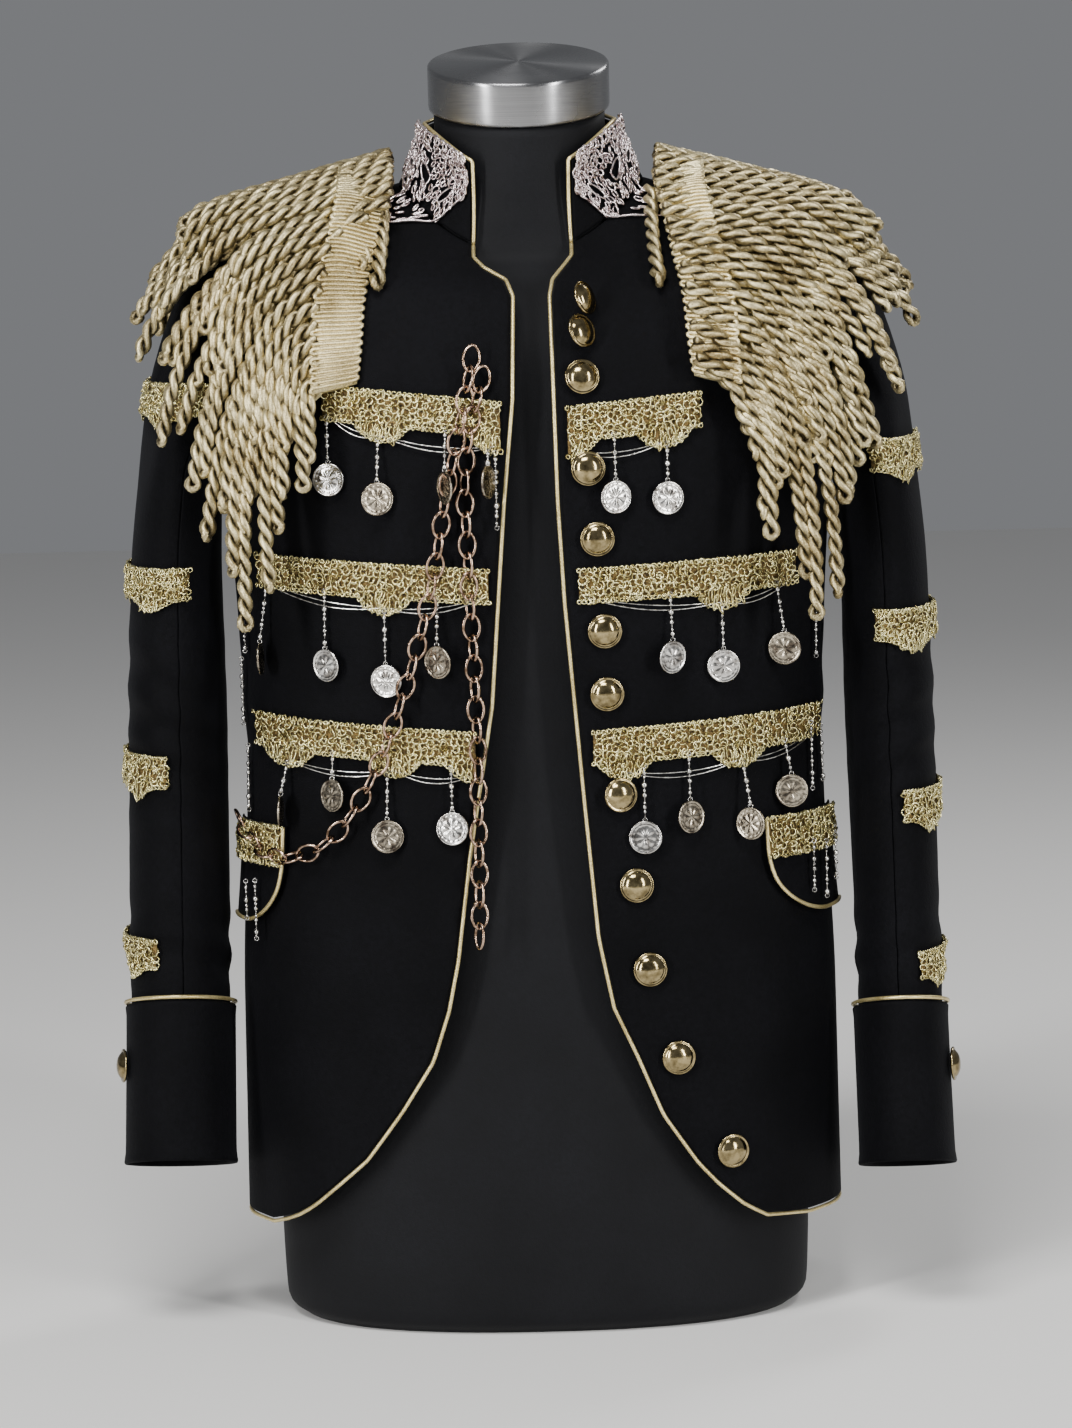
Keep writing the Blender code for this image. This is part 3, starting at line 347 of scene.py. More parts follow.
def body_fold(angle, level):
    """How far the cloth stands out or lies in at its soft folds; none at the armholes or the neck."""
    away = np.abs(angle)
    skirt = np.clip(1 - level / 2.4, 0, 1) ** 1.3
    drape = 0.0020 * skirt * np.sin(9 * away + 1.1 + 0.6 * np.sin(2 * angle))
    waist = 0.0011 * hump(level, 2.3, 0.35) * np.sin(2 * math.pi * 1.9 * level + 3 * away)
    waist = waist * hump(away, 1.5, 0.45)
    blade = 0.0022 * hump(away, 2.35, 0.10) - 0.0016 * hump(away, 2.55, 0.12)
    blade = blade * hump(level, 4.1, 1.3)
    chest = 0.0013 * hump(away - 0.72 - 0.05 * (level - 4), 0, 0.07) * hump(level, 4.2, 1.1)
    return drape + waist + blade + chest


def on_body(angle, level, out=0.0):
    """A place on the outside of the cloth, moved out along the normal."""
    lift = (body_fold(angle, level) + out)[..., None]
    return body_surface(angle, level) + lift * body_normal(angle, level)


def front_angle(x, level):
    """The angle where the front is this far from the middle."""
    width, square = np.moveaxis(read_table(BODY, level), -1, 0)[[3, 6]]
    share = np.minimum(np.abs(x) / width, 1.0)
    return np.sign(x) * np.arcsin(share ** (square / 2))


def place_at(x, z):
    """The angle and level where the front has this distance from the middle and this height."""
    x, z = np.broadcast_arrays(np.asarray(x, float), np.asarray(z, float))
    low, high = np.zeros(x.shape), np.full(x.shape, float(NECK_LEVEL))
    for _ in range(32):
        level = (low + high) / 2
        angle = front_angle(x, level)
        below = body_surface(angle, level)[..., 2] < z
        low, high = np.where(below, level, low), np.where(below, high, level)
    return angle, level


def edge_angle(side, level):
    """The angle of the front edge at a level."""
    angle = np.zeros(np.shape(level))
    for _ in range(6):
        height = body_surface(angle, level)[..., 2]
        angle = front_angle(SIDE_SIGN[side] * np.interp(height, *EDGES[side].T), level)
    return angle


def armhole_angle(level, front):
    """Where a panel ends at the armhole: front is +1 before the side line and -1 behind it."""
    t = 2 * (level - ARMPIT_LEVEL) / (TIP_LEVEL - ARMPIT_LEVEL) - 1
    return math.pi / 2 - front * ARMHOLE_BITE * np.clip(1 - t * t, 0.0, 1.0) ** 0.375


def armhole_level(turn):
    return ARMPIT_LEVEL + (TIP_LEVEL - ARMPIT_LEVEL) * (1 + np.cos(turn)) / 2


def shares(count, rim=0.006):
    """Even shares from 0 to 1 with two more close to each end, where an edge is turned."""
    even = np.linspace(0, 1, count)
    return np.sort(np.concatenate([even, [rim, 2.5 * rim, 1 - 2.5 * rim, 1 - rim]]))


def drawn_in(grid, gap):
    """The border points of a grid moved in, so that two pieces leave a seam gap."""
    grid = grid.copy()
    for line in (grid, grid.transpose(1, 0, 2)):
        first, last = line[:, 0].copy(), line[:, -1].copy()
        line[:, 0] += gap * unit(line[:, 1] - first)
        line[:, -1] += gap * unit(line[:, -2] - last)
    return grid


def shell(outer, inner, wrap=False):
    """Points and quads of a closed wall between two grids: its two faces and its rims."""
    rows, columns = outer.shape[:2]
    count = rows * columns
    faces = grid_quads(rows, columns, wrap)
    walls = [faces, faces[:, ::-1] + count]
    rims = [np.arange(columns), (rows - 1) * columns + np.arange(columns)[::-1]]
    if not wrap:
        rims = [np.concatenate([rims[0], np.arange(1, rows) * columns + columns - 1,
                                rims[1][1:], np.arange(1, rows - 1)[::-1] * columns])]
    for rim in rims:
        after = np.roll(rim, -1)
        walls.append(np.stack([after, rim, rim + count, after + count], axis=-1))
    return np.concatenate([outer.reshape(-1, 3), inner.reshape(-1, 3)]), np.concatenate(walls)


def sewn(name, points, normals, look, slot, thickness=WALL, gap=SEAM_GAP / 2, wrap=False, nodes=None):
    """A thin-walled cloth piece from a grid of outside points, with soft turned edges."""
    points = points if wrap else drawn_in(points, gap)
    turned_in = np.zeros((*points.shape[:2], 1))
    turned_in[[0, -1]] = 1
    if not wrap:
        turned_in[:, [0, -1]] = 1
    outer = points - normals * thickness * 0.30 * turned_in
    inner = points - normals * thickness * (1 - 0.25 * turned_in)
    nodes = nodes or (name.replace("cloth_", ""),)
    return piece(name, *shell(outer, inner, wrap), look, slot, *nodes)


wool = finish(
    "black wool", napped,
    {"Dark": WOOL_BLACK, "Light": WOOL_LIGHT, "Thread": 0.0009, "Nap": 0.0030, "Matt": 0.70},
    bump=0.55, depth=0.0006, Sheen_Weight=0.025, Sheen_Roughness=0.40, Sheen_Tint=(0.60, 0.62, 0.70, 1),
    Specular_IOR_Level=0.07,
)
arm_levels = armhole_level(np.radians(np.arange(180, -1, -5.0)))
rows = np.concatenate([
    [0, 0.006, 0.016], np.linspace(0.05, 1, 17), np.linspace(1, 3, 27)[1:], np.linspace(3, 4, 14)[1:-1],
    arm_levels, np.linspace(7, 10, 14)[1:-1], [9.85, 9.95, 10.0],
])[:, None]
for side, sign in SIDE_SIGN.items():
    for half, front in (("front", 1), ("back", -1)):
        arm = np.where((rows > ARMPIT_LEVEL) & (rows < TIP_LEVEL), armhole_angle(rows, front), math.pi / 2)
        start = edge_angle(side, rows) if front > 0 else np.full(rows.shape, sign * math.pi)
        angle = start + (sign * arm - start) * shares(34)
        level = rows + 0 * angle
        name = f"{half}_{side}"
        cloth = sewn(f"cloth_{name}", on_body(angle, level), body_normal(angle, level), wool, "black_wool")
        width, length, area = PANELS[name]

# Stand collar
# One band of the same wool over a stiff interlining, sewn to the neckline and open in front.
# It stands about 45 mm high and leans in to the neck.
COLLAR_WIDTH, COLLAR_DEPTH, COLLAR_SEAM = 0.0640, 0.0640, 0.0009
COLLAR_SIDE_Z, COLLAR_FRONT_Z, COLLAR_BACK_Z = 0.792, 0.762, 0.806
COLLAR_WALL, COLLAR_FLARE = 0.0024, 0.012
COLLAR_FLAT = (0.400, 0.046, 0.0144)
COLLAR_START = float(front_angle(0.034, NECK_LEVEL))


def collar_surface(angle, share):
    """Outside of the collar, from the neckline up."""
    angle, share = np.broadcast_arrays(np.asarray(angle, float), np.asarray(share, float))
    base = body_surface(angle, np.full(angle.shape, float(NECK_LEVEL)))
    c, s = np.cos(angle), np.sin(angle)
    top_z = COLLAR_SIDE_Z + (np.where(c >= 0, COLLAR_FRONT_Z, COLLAR_BACK_Z) - COLLAR_SIDE_Z) * c * c
    wide = COLLAR_WIDTH * s + COLLAR_FLARE * np.maximum(c, 0) ** 6 * np.clip(3 * s, -1, 1)
    top = np.stack([wide, -COLLAR_DEPTH * c, top_z], axis=-1)
    hollow = (0.0012 * np.sin(math.pi * np.clip(share, 0, 1)))[..., None] * unit(base * [1, 1, 0])
    return base + (top - base) * share[..., None] - hollow


def collar_normal(angle, share):
    across = collar_surface(angle + 1e-3, share) - collar_surface(angle - 1e-3, share)
    up = collar_surface(angle, 1 + 0 * share) - collar_surface(angle, 0 * share)
    return unit(np.cross(across, up))


turns = COLLAR_START + (2 * math.pi - 2 * COLLAR_START) * shares(90, 0.002)
angle, share = np.meshgrid(turns, shares(10, 0.02))
points = collar_surface(angle, share) + [0, 0, COLLAR_SEAM]
cloth = sewn("cloth_collar", points, collar_normal(angle, share), wool, "black_wool", COLLAR_WALL)
width, length, area = COLLAR_FLAT

# Sleeves and cuffs
# Two-piece sleeves, a top and an under sleeve, set into the armholes and bent a little forward,
# with soft creases at the elbow. Deep cuffs are turned up over their ends. Table: height, x, y,
# half width, half depth, and how far each ring rises outwards and forwards.
LIE_GAP = 0.0014
SLEEVE = np.array((
    (0.572, 0.2290, 0.000, 0.0235, 0.071, 0.035, 0.000),
    (0.500, 0.2360, -0.001, 0.0290, 0.067, 0.012, 0.002),
    (0.390, 0.2385, -0.006, 0.0315, 0.061, 0.004, 0.006),
    (0.290, 0.2400, -0.018, 0.0315, 0.055, 0.002, 0.010),
    (0.206, 0.2410, -0.030, 0.0310, 0.051, 0.000, 0.013),
    (0.102, 0.2430, -0.048, 0.0315, 0.050, 0.000, 0.013),
))
SLEEVE_DROP = {"right": 0.006, "left": -0.006}
CUFF_SQUEEZE = {"right": 1.06, "left": 0.90}
TOP_SLEEVE_HALF = math.radians(100)
HEAD_OUT, HEAD_IN, HEAD_MIDDLE_Z = 0.0009, 0.0006, 0.64
SLEEVE_END, CUFF_TOP_RING, CUFF_END_RING = 5.12, 5.0, 6.0
CUFF_SIDES = 80
SLEEVE_FLAT = {"top": (0.240, 0.600, 0.080), "under": (0.140, 0.500, 0.053)}
CUFF_FLAT = {"right": (0.292, 0.104, 0.0297), "left": (0.280, 0.104, 0.0283)}


def sleeve_surface(side, turn, ring):
    """Outside of a sleeve: turn 0 is the outer side, 90 degrees the front; ring 0 is the armhole."""
    turn, ring = np.broadcast_arrays(np.asarray(turn, float), np.asarray(ring, float))
    c, s = np.cos(turn), np.sin(turn)
    station = np.maximum(ring - 1, 0.0)
    z, x, y, a, b, rise_out, rise_front = np.moveaxis(read_table(SLEEVE, station), -1, 0)
    lower = np.minimum(station / 3, 1.0)
    a = a * (1 + (CUFF_SQUEEZE[side] - 1) * lower)
    height = z + SLEEVE_DROP[side] * lower + rise_out * c + rise_front * s
    tube = np.stack([x + a * c, y - b * s, height], axis=-1)
    level = armhole_level(turn)
    angle = armhole_angle(level, np.where(s >= 0, 1, -1))
    start = body_surface(angle, level) + HEAD_OUT * body_normal(angle, level)
    middle = np.stack([start[..., 0], 0 * c, 0 * c + HEAD_MIDDLE_Z], axis=-1)
    start = start + HEAD_IN * unit(middle - start)
    outer = ((1 + c) / 2)[..., None]
    leave = outer * [0.052, 0.0, -0.012] + (1 - outer) * [0.004, 0.0, -0.030]
    arrive = outer * [0.012, 0.0, -0.105] + (1 - outer) * [0.0, 0.0, -0.040]
    t = np.clip(ring, 0, 1)[..., None]
    head = (2 * t**3 - 3 * t**2 + 1) * start + (t**3 - 2 * t**2 + t) * leave
    head = head + (3 * t**2 - 2 * t**3) * tube + (t**3 - t**2) * arrive
    return np.where(t < 1, head, tube) * [SIDE_SIGN[side], 1, 1]


def sleeve_normal(side, turn, ring):
    ring = np.clip(ring, 0.02, 5.99)
    return SIDE_SIGN[side] * surface_normal(lambda t, r: sleeve_surface(side, t, r), turn, ring, 1e-3, 2e-3)


def sleeve_fold(turn, ring):
    """Creases: across the bend of the elbow, down from the sleeve head, and above the cuff."""
    outer = (1 + np.cos(turn)) / 2
    front = np.exp(-2.2 * (1 - np.cos(turn - 1.35)))
    elbow = 0.0026 * front * hump(ring, 2.95, 0.55) * np.sin(2 * math.pi * 3.6 * ring + 2.2 * np.cos(turn))
    behind = np.exp(-2.0 * (1 - np.cos(turn + 1.2)))
    bend = 0.0014 * behind * hump(ring, 2.6, 0.5) * np.sin(2 * math.pi * 2.6 * ring - 2 * np.sin(turn))
    head = 0.0018 * outer * hump(ring, 1.15, 0.45) * np.sin(4.5 * turn + 1.6 * ring)
    cuff = 0.0013 * hump(ring, 4.6, 0.35) * np.sin(2 * math.pi * 2.7 * ring + 1.8 * np.sin(turn + 0.6))
    return elbow + bend + head * np.clip(ring / 0.6, 0, 1) + cuff * np.clip((4.95 - ring) / 0.2, 0, 1)


def on_sleeve(side, turn, ring, out=0.0):
    turn, ring = np.broadcast_arrays(np.asarray(turn, float), np.asarray(ring, float))
    lift = (sleeve_fold(turn, ring) + out)[..., None]
    return sleeve_surface(side, turn, ring) + lift * sleeve_normal(side, turn, ring)


rings = np.concatenate([
    [0, 0.02, 0.06], np.linspace(0.14, 1, 11), np.linspace(1, 5.05, 82)[1:], [5.09, 5.11, SLEEVE_END],
])
for side in SIDE_SIGN:
    for part, low, high, count in (
        ("top", -TOP_SLEEVE_HALF, TOP_SLEEVE_HALF, 37),
        ("under", TOP_SLEEVE_HALF, 2 * math.pi - TOP_SLEEVE_HALF, 27),
    ):
        turn, ring = np.meshgrid(low + (high - low) * shares(count), rings)
        points, normals = on_sleeve(side, turn, ring), sleeve_normal(side, turn, ring)
        cloth = sewn(f"cloth_sleeve_{part}_{side}", points, normals, wool, "black_wool")
        width, length, area = SLEEVE_FLAT[part]
    turn, ring = np.meshgrid(
        around(CUFF_SIDES),
        np.concatenate([
            [CUFF_TOP_RING, 5.012, 5.03], np.linspace(5.07, 5.93, 18), [5.97, 5.988, CUFF_END_RING],
        ]),
    )
    roll = 0.0010 * hump(ring, CUFF_END_RING, 0.05) + 0.0006 * hump(ring, CUFF_TOP_RING, 0.04)
    points = on_sleeve(side, turn, ring, LIE_GAP + WALL + roll)
    cloth = sewn(f"cloth_cuff_{side}", points, sleeve_normal(side, turn, ring), wool, "black_wool", wrap=True)
    width, length, area = CUFF_FLAT[side]

# Pocket flaps
# A wool flap over each side pocket, rounded at its front corner, sewn down along the top
# and free below.
FLAP_START = {"right": 55, "left": 47}
FLAP_END = 86.5
FLAP_TOP, FLAP_BOTTOM, FLAP_ROUND = 0.334, 0.270, 0.038
FLAP_WALL = 0.0018
FLAP_FLAT = {"right": (0.086, 0.062, 0.0043), "left": (0.098, 0.062, 0.0054)}


def level_of(height):
    return np.interp(height, BODY[:5, 0], range(5))


for side, sign in SIDE_SIGN.items():
    along, down = np.meshgrid(shares(36), shares(16, 0.02))
    start, end = math.radians(FLAP_START[side]), math.radians(FLAP_END)
    corner = np.clip(1 - along / 0.62, 0, 1)
    low_z = FLAP_BOTTOM + FLAP_ROUND * (1 - np.sqrt(1 - corner**2))
    angle = sign * (start + (end - start) * along)
    level = level_of(FLAP_TOP + (low_z - FLAP_TOP) * down)
    free = 0.0012 * down**2 * (1 + 0.6 * np.sin(7 * along))
    points = on_body(angle, level, LIE_GAP + FLAP_WALL + free)
    cloth = sewn(f"cloth_flap_{side}", points, body_normal(angle, level), wool, "black_wool", FLAP_WALL, 0.0)
    width, length, area = FLAP_FLAT[side]

# Piping
# A thin gold cord along the collar, the fronts and the cut-away, round the pocket flaps, and one
# on each cuff: a satin thread wound over a core and caught down at its edge.
PIPING_RADIUS, PIPING_GAP = 0.0016, 0.0006
PIPING_STEP = 0.0022
CUFF_CORD_POINTS = 96
FLAP_CORD_LIFT = 0.0022
PIPING_LIGHT = (0.92, 0.77, 0.38, 1)
PIPING_DARK = (0.44, 0.34, 0.13, 1)
PIPING_SEEN = 0.0013


def frames_along(path, up, closed=False):
    """Directions along, across and up for paths stored as (..., points, 3)."""
    step = np.roll(path, -1, -2) - np.roll(path, 1, -2)
    if not closed:
        step[..., 0, :] = path[..., 1, :] - path[..., 0, :]
        step[..., -1, :] = path[..., -1, :] - path[..., -2, :]
    along = unit(step)
    up = unit(up - along * np.sum(up * along, axis=-1, keepdims=True))
    return along, np.cross(along, up), up


def swept(path, up, profile, closed=False):
    """Points and quads of tubes along paths: profile is (points, 2) or one for each path point."""
    _, across, up = frames_along(path, up, closed)
    profile = np.broadcast_to(profile, (*path.shape[:-1], *np.shape(profile)[-2:]))
    points = path[..., None, :] + across[..., None, :] * profile[..., :1]
    points = points + up[..., None, :] * profile[..., 1:]
    count, rows, sides = int(np.prod(path.shape[:-2])), path.shape[-2], profile.shape[-2]
    if closed:
        quads = grid_quads(rows + 1, sides, wrap=True) % (rows * sides)
    else:
        quads = closed_quads(rows, sides)
    quads = np.arange(count)[:, None, None] * rows * sides + quads
    return points.reshape(-1, 3), quads.reshape(-1, 4)


def gathered(parts):
    """Several shapes' points and quads as one."""
    points, quads, count = [], [], 0
    for some_points, some_quads in parts:
        points.append(np.reshape(some_points, (-1, 3)))
        quads.append(some_quads + count)
        count += len(points[-1])
    return np.concatenate(points), np.concatenate(quads)


def eased(values, times):
    """Values along the last but one axis evened out, with the ends kept."""
    for _ in range(times):
        values[..., 1:-1, :] = (values[..., :-2, :] + 2 * values[..., 1:-1, :] + values[..., 2:, :]) / 4
    return values


def circle(sides, radius):
    turn = around(sides)
    return radius * np.stack([np.cos(turn), np.sin(turn)], axis=-1)


yarn, place, given, out = effect("metallic yarn", {
    "Light": (0.8, 0.7, 0.4, 1), "Dark": (0.4, 0.3, 0.1, 1), "Thread": 0.0006, "Patch": 0.012,
    "Gloss": 0.35, "Painted lit share": 1.0,
})
fibres = noise(yarn, place, maths(yarn, "DIVIDE", 1.0, given["Thread"]), 2.0)
patches = noise(yarn, place, maths(yarn, "DIVIDE", 1.0, given["Patch"]), 3.0)
tone = between(yarn, maths(yarn, "ADD", fibres, patches), 0.72, 1.22)
# Painted shade: the last input mixes the colour towards a near-black copy of Dark. Only the twisted ropes
# feed it, low in the grooves between their plies and lobes.
painted_shade_colour = mixed(yarn, 0.86, given["Dark"], (0.01, 0.006, 0.002, 1))
colour = mixed(yarn, tone, given["Dark"], given["Light"])
yarn.links.new(mixed(yarn, given["Painted lit share"], painted_shade_colour, colour), out["Colour"])
yarn.links.new(maths(yarn, "MULTIPLY_ADD", fibres, 0.25, given["Gloss"]), out["Roughness"])
yarn.links.new(fibres, out["Height"])

piping_gold = finish(
    "piping gold", yarn,
    {"Light": PIPING_LIGHT, "Dark": PIPING_DARK, "Thread": 0.0008, "Patch": 0.02, "Gloss": 0.22},
    bump=0.35, depth=0.0004, Metallic=0.75,
)


def beside_edge(points, normals, side_sign):
    """Points moved off an edge, in the plane of the cloth, by a piping's radius and a gap."""
    _, across, _ = frames_along(points, normals)
    return points - across * side_sign * (PIPING_RADIUS + PIPING_GAP) - normals * WALL / 2


def even_path(path, step):
    """Points along a path at even steps, with any further columns carried along."""
    along = np.concatenate([[0], np.cumsum(np.linalg.norm(np.diff(path[:, :3], axis=0), axis=1))])
    at = np.linspace(0, along[-1], max(3, round(along[-1] / step) + 1))
    return np.stack([np.interp(at, along, path[:, k]) for k in range(path.shape[1])], axis=1)


for side, sign in SIDE_SIGN.items():
    levels = np.concatenate([np.linspace(0, 4, 120), np.linspace(4, 9.97, 114)[1:]])
    edge = edge_angle(side, levels)
    hem = sign * math.pi / 2 + (edge[0] - sign * math.pi / 2) * np.linspace(0.01, 0.985, 40)
    angle, level = np.concatenate([hem, edge]), np.concatenate([0 * hem, levels])
    path = beside_edge(on_body(angle, level), body_normal(angle, level), sign)
    path = even_path(np.concatenate([path, body_normal(angle, level)], axis=1), PIPING_STEP)
    piece(f"piping_cord_front_{side}", *swept(path[:, :3], path[:, 3:], circle(8, PIPING_SEEN)),
          piping_gold, "gold_trim", f"piping_front_{side}")
    turn = around(CUFF_CORD_POINTS)
    ring = np.full(CUFF_CORD_POINTS, CUFF_TOP_RING)
    up = sleeve_normal(side, turn, ring)
    path = sleeve_surface(side, turn, ring) + (LIE_GAP + PIPING_RADIUS + 0.0008) * up
    piece(f"piping_cord_cuff_{side}", *swept(path + [0, 0, 0.0024], up, circle(8, PIPING_SEEN), closed=True),
          piping_gold, "gold_trim", f"piping_cuff_{side}")
rise, turn = np.linspace(-0.01, 0.93, 18), np.linspace(COLLAR_START, 2 * math.pi - COLLAR_START, 120)
angle = np.concatenate([0 * rise + COLLAR_START, turn, 0 * rise + 2 * math.pi - COLLAR_START])
share = np.concatenate([rise, 0 * turn + 1, rise[::-1]])
up = collar_normal(angle, share)
off = PIPING_RADIUS + PIPING_GAP
side_way = unit(collar_surface(COLLAR_START + 0.01, 0.5) - collar_surface(COLLAR_START, 0.5))
path = collar_surface(angle, share) + [0, 0, COLLAR_SEAM] - up * COLLAR_WALL / 2
path[:19] -= side_way * off
path[-19:] += side_way * [1, -1, -1] * off
path[18:-18, 2] += off
path = even_path(np.concatenate([path, up], axis=1), PIPING_STEP)
piece("piping_cord_collar", *swept(path[:, :3], path[:, 3:], circle(8, PIPING_SEEN)),
      piping_gold, "gold_trim", "piping_collar")

for side, sign in SIDE_SIGN.items():
    start, end = math.radians(FLAP_START[side]), math.radians(FLAP_END)
    along = np.concatenate([np.zeros(12), np.linspace(0, 1, 50)[1:]])
    down = np.concatenate([np.linspace(0.03, 1, 12), np.ones(49)])
    low_z = FLAP_BOTTOM + FLAP_ROUND * (1 - np.sqrt(1 - np.clip(1 - along / 0.62, 0, 1) ** 2))
    angle, level = sign * (start + (end - start) * along), level_of(FLAP_TOP + (low_z - FLAP_TOP) * down)
    path = eased(on_body(angle, level, LIE_GAP + FLAP_WALL + FLAP_CORD_LIFT), 2)
    piece(f"piping_cord_flap_{side}", *swept(path, body_normal(angle, level), circle(8, PIPING_SEEN)),
          piping_gold, "gold_trim")

# Shoulder fringe
# Three rows a shoulder of pale gold bullion ropes, each one cord folded back and twisted on itself,
# so that it ends in a closed loop. The ropes are sewn under a board covered with a gimp cord laid
# to and fro, and hang over the shoulder and the upper arm.
HEADER_LINE = np.array((
    (0.118, 0.070, 0.740), (0.114, 0.034, 0.752), (0.112, -0.006, 0.753), (0.114, -0.044, 0.742),
    (0.122, -0.076, 0.708), (0.128, -0.098, 0.668), (0.129, -0.112, 0.624),
))
SHOULDER_LINE = np.array((
    (0.170, 0.092, 0.722), (0.206, 0.056, 0.738), (0.222, 0.002, 0.738), (0.222, -0.056, 0.728),
    (0.210, -0.088, 0.702), (0.186, -0.110, 0.664), (0.150, -0.121, 0.620),
))
REACH_LINE = np.array((
    (0.190, 0.104, 0.640), (0.238, 0.062, 0.662), (0.254, 0.006, 0.682), (0.249, -0.056, 0.650),
    (0.225, -0.100, 0.560), (0.190, -0.128, 0.487), (0.136, -0.134, 0.552),
))
HEADER_WIDTH = 0.025
ROPE_ROWS = (  # ropes in the row, height over the cloth, share of the full reach, shift of the ropes
    (24, 0.0060, 1.00, 0.00), (24, 0.0134, 0.84, 0.50), (24, 0.0206, 0.66, 0.20),
)
ROOTED_INWARD = {"right": (0.3, 0.8, 1.25), "left": (0.2, 0.7, 1.10)}
LONE_ROPES = {  # distance from the middle and height of each end
    "right": ((0.090, 0.744, 0.094, 0.690), (0.099, 0.742, 0.103, 0.700), (0.108, 0.740, 0.112, 0.694)),
    "left": ((0.084, 0.744, 0.087, 0.688), (0.098, 0.742, 0.101, 0.712)),
}
PLY_RADIUS, PLY_OFFSET, TWIST_LENGTH = 0.00275, 0.0024, 0.0230
PLY_SIDES, STRAND_TWIST = 8, 0.019
ROPE_POINTS, ROPE_STEP = 22, 0.00175
BOARD_ROWS, BOARD_COLUMNS = 46, 8
GIMP_RADIUS, GIMP_PITCH = 0.00125, 0.00262
ROPE_LIGHT = (1.00, 0.87, 0.50, 1)
ROPE_DARK = (0.32, 0.23, 0.09, 1)
rope_values = {"Light": ROPE_LIGHT, "Dark": ROPE_DARK, "Thread": 0.0008, "Patch": 0.030, "Gloss": 0.20}
rope_gold = finish("rope gold", yarn, rope_values, bump=0.6, depth=0.0005, Metallic=0.75)
# The ropes' own copy: a UV layer on their meshes paints shade into the colour in the grooves between the
# plies.
rope_gold_painted_shade = finish("rope gold in painted groove shade", yarn, rope_values, bump=0.6, depth=0.0005, Metallic=0.75)
painted_lit_input = node(rope_gold_painted_shade.node_tree, "ShaderNodeUVMap", uv_map="turned").outputs[0]
painted_lit_input = node(rope_gold_painted_shade.node_tree, "ShaderNodeSeparateXYZ", {0: painted_lit_input}).outputs["X"]
rope_gold_painted_shade.node_tree.links.new(painted_lit_input, rope_gold_painted_shade.node_tree.nodes["Group"].inputs["Painted lit share"])


def length_of(line):
    return np.linalg.norm(np.diff(line, axis=0), axis=1).sum()


def garment_tree():
    """The outside of the body and the sleeves, to lay the ropes on."""
    points, quads = [], []
    for side, sign in SIDE_SIGN.items():
        level, share = np.meshgrid(np.linspace(3.4, 10, 70), np.linspace(0, 1, 61), indexing="ij")
        ring, turn = np.meshgrid(np.linspace(0, 4, 60), np.linspace(0, 2 * math.pi, 61), indexing="ij")
        for grid in (on_body(sign * math.pi * share, level), on_sleeve(side, turn, ring)):
            faces = grid_quads(*grid.shape[:2]) + sum(len(p) for p in points)
            quads.append(faces if sign > 0 else faces[:, ::-1])
            points.append(grid.reshape(-1, 3))
    return BVHTree.FromPolygons(np.concatenate(points).tolist(), np.concatenate(quads).tolist())


tree = garment_tree()


def laid(points, clearance):
    """Points moved out until each is this far from the garment, and the ways out."""
    points, ways = np.array(points), np.zeros(np.shape(points))
    for i in np.ndindex(points.shape[:-1]):
        p = points[i]
        for _ in range(4):
            spot, normal, _, _ = tree.find_nearest(Vector(p))
            normal = np.array(normal)
            high = float(np.dot(p - np.array(spot), normal))
            ways[i] = normal
            if high >= clearance - 1e-5:
                break
            p = p + normal * (clearance - high)
        points[i] = p
    return points, ways


def rope_lines(side, row, random):
    """Middle lines of one row of ropes, and the ways out, as (ropes, points, 3)."""
    count, height, reach, shift = ROPE_ROWS[row]
    mirror = np.array([SIDE_SIGN[side], 1, 1])
    share = (np.arange(count) + 0.35 + 0.3 * shift + random.uniform(-0.12, 0.12, count)) / count
    station = np.clip(share, 0.004, 0.996) * (len(HEADER_LINE) - 1)
    lines = (HEADER_LINE, SHOULDER_LINE, REACH_LINE)
    head, over, tip = (read_table(line, station) * mirror for line in lines)
    inward = ROOTED_INWARD[side][row] * np.ones(count)
    if side == "right":
        inward *= np.clip((3.9 - station) / 0.5, 0, 1)
    head = head - unit(over - head) * (HEADER_WIDTH * inward)[:, None]
    t = (np.linspace(0, 1, ROPE_POINTS) * reach)[None, :, None]
    t = t * (1 + random.uniform(-0.17, 0.05, count))[:, None, None]
    path = (1 - t) ** 2 * head[:, None] + 2 * t * (1 - t) * over[:, None] + t * t * tip[:, None]
    path, ways = laid(path, height)
    ways = unit(eased(ways, 3))
    _, across, _ = frames_along(path, ways)
    s = np.linspace(0, 1, ROPE_POINTS)[None, :]
    phase, beats = random.uniform(0, 2 * math.pi, (count, 1)), random.uniform(1.0, 2.2, (count, 1))
    sway = 0.0017 * s * np.sin(2 * math.pi * beats * s + phase)
    sway = sway + random.uniform(-0.0095, 0.0095, (count, 1)) * s**2
    path = eased(path + across * sway[..., None], 2)
    path, _ = laid(path, height - 0.0004)
    path = eased(path, 2)
    path[:, 1:] += ways[:, 1:] * (random.uniform(0, 0.0022, (count, 1)) * s[:, 1:] ** 2)[..., None]
    return path, ways


